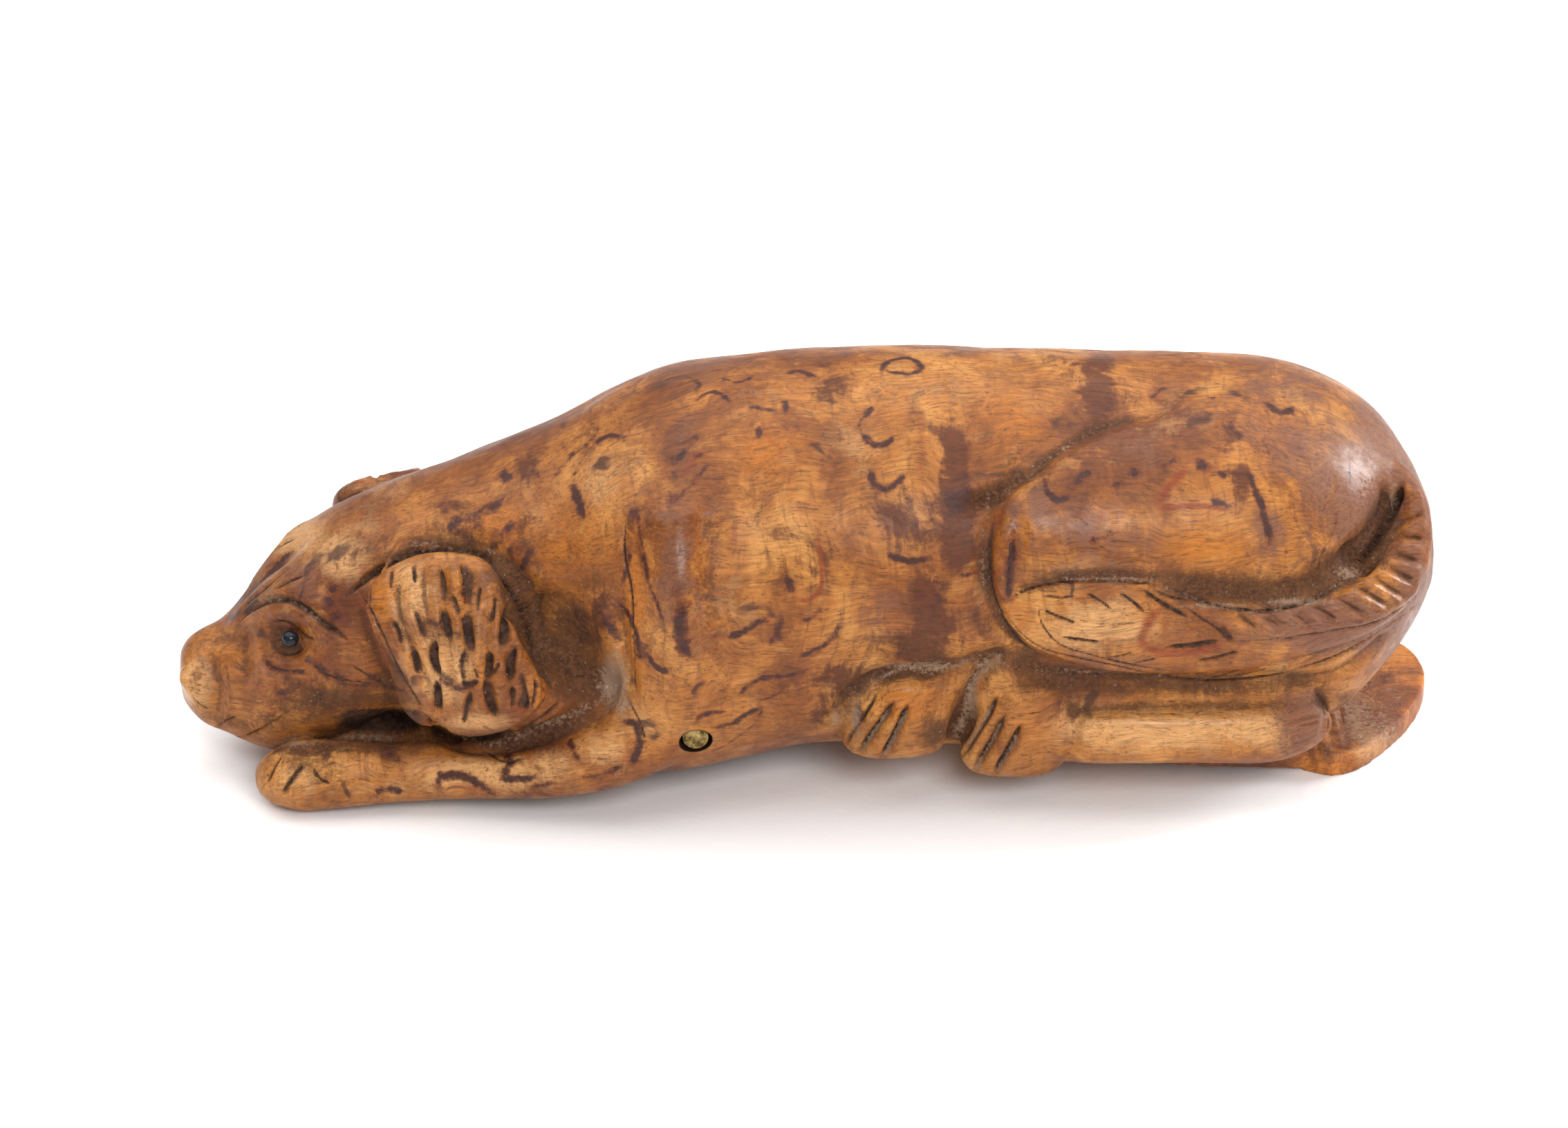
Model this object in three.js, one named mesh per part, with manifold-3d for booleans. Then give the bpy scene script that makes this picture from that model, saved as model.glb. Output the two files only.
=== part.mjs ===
// A snuff box carved from one piece of burr wood as a hound lying down.
// The hound lies along X with its nose at -X. Its chin is between its forepaws, its haunches are
// rolled so that both hind feet show on the -Y side, and its tail is curled forward over that
// flank. A lid in the underside turns on a brass pin through the chest. Sizes are in millimetres,
// the table is at z = 0 and +Z is up.
import * as THREE from "three";
import { mergeVertices } from "three/addons/utils/BufferGeometryUtils.js";
import Module from "manifold-3d";

// Driving dimensions
const HINGE_X = -10.7; // the pin's axis, along the length
const HINGE_Z = 8.9; // the pin's axis above the table
const PIN_R = 1.1;
const PIN_HALF = 14.6; // the pin ends just inside the chest's surface
const PIN_TURN = 0.32; // room round the pin in its bore
const KNUCKLE_R = 3.3;
const KNUCKLE_HALF = 5.2;
const GAP = 0.35; // between the lid and the body
const LID_THICK = 2.6;
const TAB_THICK = 2.1;
const LID_START = -10.0; // where the plate leaves the knuckle
const LID_END = 44.6; // where the plate meets the thumb tab
const BOSS_HIGH = 1.1; // the raised panel that closes the mouth
const RIM = 1.9; // the ledge between the mouth and the lid's edge
const CAVITY_START = -1.5;
const CAVITY_END = 41.0;
const CAVITY_HALF = 11.4;
const CAVITY_TOP = 30.8;
const EYE_R = 0.75;
const EYE_NEAR = [-45.0, -7.75, 15.3];
const EYE_FAR = [-45.0, 7.55, 15.3];
const EAR_FAR = [-3.6, -0.3, -1.6]; // the far ear lies nearer the nose, closer in and lower
const HAUNCH_FAR = [0.4, -2.2]; // the far haunch lies a little further out and lower
const RING = 30; // points round the trunk

// The trunk from nose to rump: x, centre y, centre z, half width, half height, and the
// roundness of the upper and the lower half (2 is an ellipse, more is squarer)
const TRUNK = [
  [-54.9, -1.6, 8.3, 1.9, 2.1, 2.0, 2.0],
  [-54.2, -1.5, 8.2, 3.0, 3.2, 2.0, 2.0],
  [-53.0, -1.4, 8.0, 3.9, 4.1, 2.1, 2.2],
  [-51.2, -1.2, 8.0, 4.8, 4.9, 2.1, 2.3],
  [-49.2, -1.0, 8.7, 6.0, 6.5, 2.1, 2.4],
  [-47.4, -0.8, 9.5, 7.2, 7.9, 2.2, 2.4],
  [-45.6, -0.5, 10.2, 8.0, 8.7, 2.2, 2.4],
  [-43.0, 0.0, 11.6, 8.9, 9.5, 2.2, 2.3],
  [-40.0, 0.2, 13.1, 9.5, 9.8, 2.2, 2.2],
  [-36.5, 0.3, 14.6, 10.0, 9.8, 2.1, 2.1],
  [-33.5, 0.3, 14.5, 10.8, 11.0, 2.1, 2.2],
  [-31.0, 0.3, 14.3, 11.7, 12.1, 2.0, 2.3],
  [-27.0, 0.2, 14.9, 13.1, 13.0, 2.0, 2.5],
  [-22.0, 0.0, 15.8, 14.7, 14.0, 2.0, 2.7],
  [-17.0, 0.0, 16.7, 16.3, 15.7, 2.0, 2.8],
  [-12.0, 0.0, 17.9, 16.9, 16.5, 2.0, 3.0],
  [-6.0, 0.0, 18.6, 16.8, 16.9, 2.0, 2.5],
  [0.0, 0.0, 19.0, 16.7, 16.9, 2.0, 2.2],
  [8.0, 0.0, 19.2, 16.4, 16.9, 2.0, 2.5],
  [16.0, 0.0, 19.2, 16.2, 16.4, 2.0, 2.9],
  [26.0, 0.0, 19.0, 16.1, 16.0, 2.0, 3.1],
  [35.0, 0.0, 18.8, 16.1, 15.7, 2.0, 3.1],
  [41.0, 0.0, 18.6, 15.8, 15.2, 2.0, 3.0],
  [45.5, -0.3, 18.5, 14.2, 13.7, 2.0, 2.6],
  [49.2, -0.7, 18.6, 11.5, 10.9, 2.0, 2.1],
  [51.8, -1.0, 18.6, 8.3, 7.3, 2.0, 2.0],
  [53.4, -1.2, 18.4, 4.5, 4.1, 2.0, 2.0],
];
const TRUNK_STEPS = [
  -54.9, -54.2, -53, -51.6, -50.2, -48.8, -47.4, -46, -44.6, -43, -41, -38.5, -36, -33.5, -31, -28,
  -25, -22, -19, -16.6, -15, -13, -10.5, -6.5, -2, 4, 10, 16, 22, 28, 34, 39, 43, 46, 48.6, 50.8,
  52.4, 53.4,
];

// Swellings (+) and hollows (-) of the trunk: x, y, z, reach in x, y and z, height. Those with
// y other than 0 are on both sides.
const SWELLS = [
  [-45.6, 4.6, 18.3, 2.4, 2.2, 2.6, 0.9], // brows
  [-46.6, 0.0, 18.6, 4.0, 1.1, 3.0, -0.9], // furrow of the forehead
  [-49.2, 6.0, 12.6, 2.0, 3.0, 2.2, -0.5], // under the eyes
  [-45.0, 8.2, 15.3, 1.7, 2.0, 1.5, -0.9], // eye sockets
  [-41.5, 9.0, 10.5, 3.0, 3.0, 3.4, 0.5], // cheeks
  [-20.2, 15.0, 17.0, 3.4, 6.0, 6.5, -2.6], // hollows ahead of the shoulders
  [-11.5, 14.5, 23.5, 3.6, 7.0, 8.0, 0.7], // shoulders
  [-4.0, 15.0, 21.0, 4.0, 7.0, 8.0, -0.5], // behind the shoulders
  [8.0, 16.0, 13.0, 5.5, 6.0, 6.0, -0.7], // flanks
  [-2.0, 0.0, 35.5, 7.0, 6.0, 4.0, -0.3], // dip behind the withers
];

// The haunch on the -Y side: x, centre y, centre z, half width, half height
const HAUNCH = [
  [13.5, -14.3, 24.2, 0.9, 2.8],
  [14.3, -12.6, 24.0, 3.9, 5.8],
  [16.2, -10.8, 23.6, 6.5, 8.4],
  [20.0, -8.6, 22.6, 9.0, 10.7],
  [25.0, -6.6, 21.8, 11.0, 12.4],
  [31.0, -4.8, 21.2, 12.6, 13.3],
  [37.0, -3.6, 20.8, 13.3, 13.5],
  [43.0, -2.9, 20.1, 12.5, 12.6],
  [47.0, -2.6, 19.4, 10.7, 10.9],
  [50.3, -2.2, 18.8, 7.9, 8.2],
  [52.4, -2.0, 18.4, 4.9, 5.2],
];

// Limbs: x, y, z of the middle line, half size across and half size outwards
const FORELEG = [
  [-48.2, -9.6, 2.1, 1.3, 1.2],
  [-47.2, -9.7, 2.4, 2.5, 2.2],
  [-44.8, -9.9, 2.9, 3.2, 3.1],
  [-41.5, -10.2, 3.1, 2.9, 3.0],
  [-37.5, -10.6, 3.3, 2.5, 2.6],
  [-32.5, -11.0, 3.7, 2.4, 2.5],
  [-27.5, -11.8, 4.3, 2.5, 2.7],
  [-22.5, -12.5, 5.2, 2.9, 3.0],
  [-17.5, -12.9, 7.2, 3.8, 3.7],
  [-12.5, -12.0, 9.6, 4.2, 4.0],
];
const SHANK = [
  [19.5, -13.8, 7.7, 2.4, 2.4],
  [23.0, -14.3, 8.0, 3.0, 2.9],
  [29.0, -14.5, 8.2, 3.0, 3.0],
  [35.0, -14.4, 8.0, 3.0, 3.1],
  [39.5, -13.9, 8.0, 3.1, 3.2],
  [41.8, -13.3, 8.5, 2.6, 2.8],
  [42.7, -12.6, 9.1, 1.4, 1.7],
];
const NEAR_FOOT = [
  [20.3, -12.8, 15.2, 2.2, 2.0],
  [19.2, -13.4, 12.6, 3.9, 2.9],
  [18.0, -13.5, 9.6, 4.6, 3.1],
  [17.0, -13.1, 6.8, 4.8, 2.9],
  [16.4, -12.7, 4.6, 4.5, 2.4],
  [16.2, -12.5, 3.5, 3.4, 1.5],
];
const FAR_FOOT = [
  [9.4, -12.6, 15.4, 2.2, 1.9],
  [8.4, -13.2, 13.2, 3.7, 2.8],
  [7.5, -13.1, 10.6, 4.4, 3.2],
  [6.6, -12.5, 8.2, 4.8, 3.0],
  [6.2, -12.0, 6.3, 4.4, 2.4],
  [6.1, -11.8, 5.2, 3.3, 1.5],
];
const TAIL = [
  [48.8, -4.2, 27.6, 1.0, 1.1],
  [49.6, -6.2, 26.3, 2.1, 1.8],
  [49.9, -8.9, 24.0, 2.6, 1.9],
  [49.0, -11.6, 22.0, 2.9, 1.9],
  [46.8, -13.8, 20.6, 2.9, 1.8],
  [43.8, -15.2, 19.4, 2.7, 1.7],
  [39.8, -15.8, 18.5, 2.7, 1.7],
  [35.4, -16.0, 17.7, 3.1, 1.7],
  [30.0, -16.1, 18.3, 4.0, 1.7],
  [24.0, -16.1, 19.2, 4.1, 1.7],
  [19.0, -15.9, 20.2, 3.0, 1.7],
  [16.2, -15.7, 21.1, 1.7, 1.4],
  [15.0, -15.5, 21.5, 0.7, 0.8],
];

// An ear, from its root down to its tip: z, centre x, centre y, half width, half thickness
const EAR = [
  [24.1, -31.0, -7.6, 3.0, 0.8],
  [23.2, -31.6, -8.8, 5.0, 1.6],
  [21.2, -31.8, -10.2, 6.3, 2.3],
  [18.4, -31.0, -11.5, 6.9, 2.8],
  [15.6, -30.0, -12.5, 7.0, 3.0],
  [13.2, -29.8, -13.0, 6.7, 2.8],
  [11.0, -30.2, -13.0, 5.6, 2.3],
  [9.3, -30.8, -12.7, 3.8, 1.5],
  [8.5, -31.0, -12.5, 2.0, 0.8],
];
const EAR_TURN = -0.26; // the ear's back edge stands out from the neck

// Cuts with a gouge: half width, depth, and the line on the surface
const GOUGES = [
  [0.45, 1.0, [[-48.6, -10.9, 3.2], [-47.0, -10.8, 5.0], [-45.4, -10.6, 6.1]]], // forepaw toes
  [0.4, 0.9, [[-48.0, -12.2, 1.7], [-46.4, -12.8, 2.8], [-44.8, -13.1, 3.9]]],
  [0.45, 1.0, [[-48.8, -9.3, 3.0], [-47.3, -9.1, 4.9], [-45.8, -8.9, 6.0]]],
  [0.55, 1.3, [[13.0, -14.9, 4.2], [14.2, -16.0, 7.4], [15.4, -16.9, 10.8]]], // near hind toes
  [0.55, 1.3, [[15.0, -14.9, 3.6], [15.8, -15.9, 6.8], [16.8, -17.0, 10.2]]],
  [0.45, 1.0, [[11.9, -14.6, 5.6], [13.0, -15.8, 8.8], [14.5, -16.2, 12.1]]],
  [0.55, 1.3, [[3.2, -13.9, 5.8], [4.5, -15.3, 9.0], [6.2, -16.4, 12.5]]], // far hind toes
  [0.55, 1.3, [[5.1, -13.9, 5.4], [6.0, -15.2, 8.4], [7.3, -16.5, 12.2]]],
  [0.45, 1.0, [[1.9, -13.4, 7.2], [3.0, -14.8, 10.0], [4.4, -15.7, 13.0]]],
  [0.6, 1.2, [[12.6, -13.2, 28.9], [14.2, -12.6, 29.9], [18.2, -10.3, 31.5], [22.0, -8.2, 33.0],
    [25.7, -6.6, 34.0], [30.0, -5.1, 34.8]]], // above the haunch
  [0.8, 1.6, [[49.8, -4.6, 29.4], [49.4, -8.4, 27.0], [48.0, -12.2, 24.6], [45.3, -14.7, 23.0],
    [41.0, -16.5, 21.6], [35.5, -17.4, 21.3], [29.6, -17.6, 23.3], [24.0, -17.7, 24.1],
    [19.0, -17.6, 24.0], [15.6, -17.0, 22.9]]], // above the tail
  [0.35, 0.8, [[-51.8, -5.2, 5.4], [-49.4, -6.4, 5.2], [-47.2, -7.6, 6.6], [-44.6, -8.8, 8.8]]], // mouth
  [0.35, 0.8, [[-51.8, 3.0, 5.4], [-49.4, 4.8, 5.2], [-47.2, 6.4, 6.6], [-44.6, 8.4, 8.8]]],
  [0.35, 0.8, [[-48.6, -3.2, 15.6], [-46.6, -5.0, 17.8], [-44.3, -6.4, 18.3], [-42.0, -8.2, 17.0],
    [-39.8, -9.3, 15.2]]], // brows
  [0.35, 0.8, [[-48.6, 2.4, 15.6], [-46.6, 4.4, 17.8], [-44.3, 6.2, 18.3], [-42.0, 8.2, 17.0],
    [-39.8, 9.3, 15.2]]],
  [0.45, 1.0, [[-16.6, -10.6, 29.4], [-16.1, -13.4, 26.2], [-15.6, -15.3, 22.6], [-15.2, -16.5, 18.0],
    [-15.0, -16.7, 13.2]]], // ahead of the shoulder
  [0.35, 0.8, [[-34.2, -14.3, 20.4], [-34.0, -15.4, 16.0], [-33.4, -15.6, 12.6]]], // locks of the ear
  [0.35, 0.8, [[-31.0, -15.2, 20.2], [-30.6, -16.4, 15.6], [-30.2, -16.4, 11.6]]],
  [0.35, 0.8, [[-28.0, -15.9, 18.6], [-27.2, -17.2, 14.6], [-26.6, -17.0, 12.0]]],
  [0.35, 0.8, [[26.8, -18.4, 20.6], [22.8, -18.4, 19.6], [19.4, -18.2, 19.6]]], // tail feathers
  [0.35, 0.8, [[30.6, -18.4, 18.4], [26.6, -18.5, 17.2], [22.8, -18.3, 17.0]]],
  [0.35, 0.8, [[37.0, -18.2, 19.0], [34.2, -18.3, 20.4], [31.6, -18.3, 21.4]]],
  [0.35, 0.8, [[42.8, -17.4, 19.6], [40.4, -17.8, 20.6], [38.2, -18.0, 21.0]]],
];

// The lid's half width and the height of its underside along X
const LID_PLAN = [
  [-14.0, 5.2, 5.3],
  [-3.0, 5.4, 4.8],
  [4.0, 6.6, 4.1],
  [12.0, 8.2, 3.1],
  [20.0, 9.2, 2.3],
  [28.0, 9.6, 1.5],
  [36.0, 9.6, 0.8],
  [44.6, 9.3, 0.2],
];
// The thumb tab's outline past the plate
const TAB = [
  [42.6, -9.2], [44.7, -10.2], [47.1, -9.5], [50.0, -6.6], [52.4, -3.4], [54.2, 0.2], [55.0, 3.4],
  [54.7, 6.6], [53.4, 9.0], [50.6, 10.3], [46.6, 10.3], [44.0, 9.4],
];

// Values between the rows of a table, on smooth curves through them
function row(table, x) {
  const last = table.length - 1;
  const sign = Math.sign(table[last][0] - table[0][0]);
  let i = 0;
  while (i < last - 1 && sign * (x - table[i + 1][0]) > 0) i += 1;
  const slope = (k, c) => {
    const a = table[Math.max(k - 1, 0)];
    const d = table[Math.min(k + 1, last)];
    return (d[c] - a[c]) / (d[0] - a[0]);
  };
  const [p, q] = [table[i], table[i + 1]];
  const h = q[0] - p[0];
  const t = (x - p[0]) / h;
  return p.map((v, c) => {
    if (c === 0) return x;
    const m0 = slope(i, c) * h;
    const m1 = slope(i + 1, c) * h;
    return (2 * t ** 3 - 3 * t ** 2 + 1) * v + (t ** 3 - 2 * t ** 2 + t) * m0
      + (3 * t ** 2 - 2 * t ** 3) * q[c] + (t ** 3 - t ** 2) * m1;
  });
}

// A point on a unit superellipse with its own roundness
function roundPoint(angle, n) {
  const c = Math.cos(angle);
  const s = Math.sin(angle);
  return [Math.sign(c) * Math.abs(c) ** (2 / n), Math.sign(s) * Math.abs(s) ** (2 / n)];
}

// A closed skin over rings of THREE.Vector3, each with a middle point at its two ends
function skin(rings) {
  const count = rings[0].length;
  const points = rings.flat();
  const middle = (ring) => ring.reduce((m, v) => m.add(v), new THREE.Vector3()).divideScalar(count);
  points.push(middle(rings[0]), middle(rings.at(-1)));
  const index = [];
  for (let k = 0; k < rings.length - 1; k += 1) {
    for (let j = 0; j < count; j += 1) {
      const a = k * count + j;
      const b = k * count + ((j + 1) % count);
      index.push(a, b, b + count, a, b + count, a + count);
    }
  }
  const [first, end] = [points.length - 2, points.length - 1];
  const base = (rings.length - 1) * count;
  for (let j = 0; j < count; j += 1) {
    const next = (j + 1) % count;
    index.push(first, next, j, end, base + j, base + next);
  }
  const geometry = new THREE.BufferGeometry().setFromPoints(points);
  geometry.setIndex(index);
  return geometry;
}

const wasm = await Module();
wasm.setup();

// A closed geometry as a solid, turned inside out if its faces point in
function solid(geometry) {
  const bare = geometry.clone();
  bare.deleteAttribute("normal");
  bare.deleteAttribute("uv");
  const merged = mergeVertices(bare, 1e-4);
  const vertProperties = Float32Array.from(merged.attributes.position.array);
  const triVerts = Uint32Array.from(merged.index.array);
  let volume = 0;
  const [a, b, c] = [new THREE.Vector3(), new THREE.Vector3(), new THREE.Vector3()];
  for (let i = 0; i < triVerts.length; i += 3) {
    a.fromArray(vertProperties, 3 * triVerts[i]);
    b.fromArray(vertProperties, 3 * triVerts[i + 1]);
    c.fromArray(vertProperties, 3 * triVerts[i + 2]);
    volume += a.dot(b.cross(c));
  }
  if (volume < 0) {
    for (let i = 0; i < triVerts.length; i += 3) {
      [triVerts[i + 1], triVerts[i + 2]] = [triVerts[i + 2], triVerts[i + 1]];
    }
  }
  return new wasm.Manifold(new wasm.Mesh({ numProp: 3, vertProperties, triVerts }));
}

function mesh(name, body, look) {
  const out = body.getMesh();
  const geometry = new THREE.BufferGeometry();
  geometry.setAttribute("position", new THREE.BufferAttribute(out.vertProperties, 3));
  geometry.setIndex(new THREE.BufferAttribute(out.triVerts, 1));
  geometry.computeVertexNormals();
  const piece = new THREE.Mesh(geometry, new THREE.MeshStandardMaterial(look));
  piece.name = name;
  return piece;
}

// A limb: rings across a smooth line, with one half size across it and one outwards from the
// trunk's own middle line
function limb(rows, steps, count, n = 2, axisZ = 18) {
  const line = new THREE.CatmullRomCurve3(rows.map((p) => new THREE.Vector3(p[0], p[1], p[2])), false, "centripetal");
  const sizes = rows.map((p, i) => [i, p[3], p[4]]);
  const rings = [];
  for (let k = 0; k <= steps; k += 1) {
    const t = k / steps;
    const at = line.getPoint(t);
    const along = line.getTangent(t);
    const out = new THREE.Vector3(0, at.y, at.z - axisZ).normalize();
    const side = new THREE.Vector3().crossVectors(along, out).normalize();
    out.crossVectors(side, along).normalize();
    const [, across, deep] = row(sizes, t * (rows.length - 1));
    const ring = [];
    for (let j = 0; j < count; j += 1) {
      const [c, s] = roundPoint((2 * Math.PI * j) / count, n);
      ring.push(at.clone().addScaledVector(side, c * across).addScaledVector(out, s * deep));
    }
    rings.push(ring);
  }
  return skin(rings);
}

const mirrored = (rows) => rows.map((p) => [p[0], -p[1], ...p.slice(2)]);

// A gouge cut: a thin wedge along a line, its edge pointing into the trunk
function gouge([half, depth, points], axisZ = 17) {
  const line = new THREE.CatmullRomCurve3(points.map((p) => new THREE.Vector3(...p)));
  const steps = 2 * (points.length - 1);
  const rings = [];
  for (let k = 0; k <= steps; k += 1) {
    const t = k / steps;
    const at = line.getPoint(t);
    const along = line.getTangent(t);
    const out = new THREE.Vector3(0, at.y, (at.z - axisZ) * 0.8).normalize();
    const side = new THREE.Vector3().crossVectors(along, out).normalize();
    const fade = 0.35 + 0.65 * Math.sin(Math.PI * Math.min(Math.max(t, 0.04), 0.96));
    const edge = at.clone().addScaledVector(out, -depth * fade);
    const top = at.clone().addScaledVector(out, 1.2);
    const wide = half * fade + 0.35;
    rings.push([
      edge, top.clone().addScaledVector(side, wide * 1.9), top.clone().addScaledVector(side, -wide * 1.9),
    ]);
  }
  return skin(rings);
}

// The trunk's rings, with its swellings and hollows
function trunk() {
  const rings = TRUNK_STEPS.map((x) => {
    const [, yc, zc, ry, rz, up, down] = row(TRUNK, x);
    const ring = [];
    for (let j = 0; j < RING; j += 1) {
      const angle = (2 * Math.PI * (j + 0.5)) / RING;
      const [c, s] = roundPoint(angle, Math.sin(angle) > 0 ? up : down);
      const p = new THREE.Vector3(x, yc + ry * c, zc + rz * s);
      const out = new THREE.Vector3(0, c, s).normalize();
      let push = 0;
      for (const [sx, sy, sz, lx, ly, lz, high] of SWELLS) {
        const y = sy === 0 ? p.y : Math.abs(p.y);
        const far = ((p.x - sx) / lx) ** 2 + ((y - sy) / ly) ** 2 + ((p.z - sz) / lz) ** 2;
        push += high * Math.exp(-far);
      }
      ring.push(p.addScaledVector(out, push));
    }
    return ring;
  });
  return skin(rings);
}

// The haunch's rings
function haunch(side, [near, low]) {
  const steps = [13.5, 14.0, 15.0, 17.0, 20, 24, 28.5, 33, 38, 43, 47, 50.3, 52.4];
  const rings = steps.map((x) => {
    const [, yc, zc, ry, rz] = row(HAUNCH, x);
    const ring = [];
    for (let j = 0; j < 24; j += 1) {
      const [c, s] = roundPoint((2 * Math.PI * j) / 24, 2.1);
      ring.push(new THREE.Vector3(x, side * (yc - near + ry * c), zc + low + rz * s));
    }
    return ring;
  });
  return skin(rings);
}

// An ear as a stack of level rings
function ear(side, [forward, near, low]) {
  const rings = [];
  for (let k = 0; k <= 11; k += 1) {
    const t = k / 11;
    const z = 24.1 + (8.5 - 24.1) * (0.5 - 0.5 * Math.cos(Math.PI * (0.06 + 0.88 * t)));
    const [, xc, yc, wide, thick] = row(EAR, z);
    const ring = [];
    for (let j = 0; j < 16; j += 1) {
      const [c, s] = roundPoint((2 * Math.PI * j) / 16, 2.3);
      const x = wide * c * Math.cos(EAR_TURN) - thick * s * Math.sin(EAR_TURN);
      const y = wide * c * Math.sin(EAR_TURN) + thick * s * Math.cos(EAR_TURN);
      ring.push(new THREE.Vector3(xc + x + forward, side * (yc - near + y), z + low));
    }
    rings.push(ring);
  }
  return skin(rings);
}

// A flat-sided block over the lid's plan: rings across the length between two heights
function overLid(from, to, steps, half, low, high) {
  const rings = [];
  for (let k = 0; k <= steps; k += 1) {
    const x = from + ((to - from) * k) / steps;
    const w = half(x);
    rings.push([
      new THREE.Vector3(x, -w, low(x)), new THREE.Vector3(x, w, low(x)),
      new THREE.Vector3(x, w, high(x)), new THREE.Vector3(x, -w, high(x)),
    ]);
  }
  return skin(rings);
}

const lidHalf = (x) => row(LID_PLAN, x)[1];
const lidUnder = (x) => row(LID_PLAN, x)[2];
const lidTop = (x) => lidUnder(x) + LID_THICK;

// A round bar along Y
function bar(radius, half, count = 24) {
  const geometry = new THREE.CylinderGeometry(radius, radius, 2 * half, count);
  geometry.translate(HINGE_X, 0, HINGE_Z);
  return geometry;
}

// The tab and other flat shapes, from an outline in X and Y
function slab(outline, low, high) {
  const shape = new THREE.Shape(outline.map(([x, y]) => new THREE.Vector2(x, y)));
  const geometry = new THREE.ExtrudeGeometry(shape, { depth: high - low, bevelEnabled: false });
  geometry.translate(0, 0, low);
  return geometry;
}

// The inside of the box: an arched room above a mouth that follows the lid
function cavity() {
  const steps = [CAVITY_START, 0, 3, 8, 14, 20, 26, 32, 37, 39.8, CAVITY_END];
  const zc = 17.5;
  const rings = steps.map((x) => {
    const t = (2 * (x - CAVITY_START)) / (CAVITY_END - CAVITY_START) - 1;
    const fill = 0.55 + 0.45 * (1 - Math.abs(t) ** 5) ** 0.5;
    const ring = [];
    for (let j = 0; j < 20; j += 1) {
      const [c, s] = roundPoint((2 * Math.PI * (j + 0.5)) / 20, 2.6);
      const rz = s > 0 ? CAVITY_TOP - zc : zc - 8.5;
      ring.push(new THREE.Vector3(x, CAVITY_HALF * fill * c, zc + rz * fill * s));
    }
    return ring;
  });
  return skin(rings);
}

// The hound
const bodyParts = [
  trunk(), haunch(1, [0, 0]), haunch(-1, HAUNCH_FAR),
  limb(FORELEG, 13, 12), limb(mirrored(FORELEG), 13, 12),
  limb(SHANK, 9, 12),
  limb(NEAR_FOOT, 7, 16, 2.6), limb(FAR_FOOT, 7, 16, 2.6),
  limb(TAIL, 26, 12, 2.3, 19),
  ear(1, [0, 0, 0]), ear(-1, EAR_FAR),
];
let hound = bodyParts.map(solid).reduce((all, next) => all.add(next));

// What is cut from it: the table's plane, the lid's seat, the room, the bore and the sockets
const below = new THREE.BoxGeometry(140, 60, 20);
below.translate(0, 0, -10);
const seat = overLid(-15.2, 60, 20, (x) => lidHalf(Math.min(x, LID_END)) + GAP + (x > 43 ? 2 : 0), () => -3, (x) => lidTop(Math.min(x, LID_END)) + GAP);
const mouth = overLid(1.5, 38.5, 10, (x) => lidHalf(x) - RIM, () => 0, () => 14);
const knuckleRoom = bar(KNUCKLE_R + 0.45, KNUCKLE_HALF + GAP, 28);
const under = new THREE.BoxGeometry(9.6, 2 * (KNUCKLE_HALF + GAP), HINGE_Z + 4);
under.translate(HINGE_X - 0.4, 0, (HINGE_Z + 4) / 2 - 4);
const bore = bar(PIN_R + PIN_TURN, 24, 20);
const sockets = [EYE_NEAR, EYE_FAR].map((p) => {
  const ball = new THREE.SphereGeometry(EYE_R + 0.32, 10, 7);
  ball.translate(...p);
  return ball;
});
for (const cut of [below, seat, mouth, cavity(), knuckleRoom, under, bore, ...sockets, ...GOUGES.map((g) => gouge(g))]) {
  hound = hound.subtract(solid(cut));
}

// The lid: plate, thumb tab, raised panel and knuckle
const plate = overLid(LID_START, LID_END, 16, lidHalf, lidUnder, lidTop);
const panel = overLid(2.2, 37.8, 10, (x) => lidHalf(x) - RIM - 0.45, (x) => lidTop(x) - 0.5, (x) => lidTop(x) + BOSS_HIGH);
const tab = slab(TAB, 0, TAB_THICK);
const neck = overLid(40.0, 46.0, 4, () => 8.6, () => 0.1, () => TAB_THICK + 0.4);
let lid = [plate, panel, tab, neck, bar(KNUCKLE_R, KNUCKLE_HALF)].map(solid).reduce((all, next) => all.add(next));
lid = lid.subtract(solid(bar(PIN_R + PIN_TURN, 10, 20))).subtract(solid(below));

const pin = solid(bar(PIN_R, PIN_HALF, 20));
const eyes = [EYE_NEAR, EYE_FAR].map((p) => {
  const ball = new THREE.SphereGeometry(EYE_R, 12, 8);
  ball.translate(...p);
  return solid(ball);
});

const burr = { color: 0xa86a2c, roughness: 0.38, metalness: 0 };
const glass = { color: 0x0c0e12, roughness: 0.08, metalness: 0 };
const box = new THREE.Group();
box.add(
  mesh("hound_body", hound, burr),
  mesh("lid", lid, { ...burr, color: 0x8f5a26 }),
  mesh("hinge_pin", pin, { color: 0xb39552, roughness: 0.4, metalness: 1 }),
  mesh("left_eye", eyes[0], glass),
  mesh("right_eye", eyes[1], glass),
);

export default box;
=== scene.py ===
import math
import bpy
import numpy as np
from mathutils import Matrix, Vector
from mathutils.bvhtree import BVHTree


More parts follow.
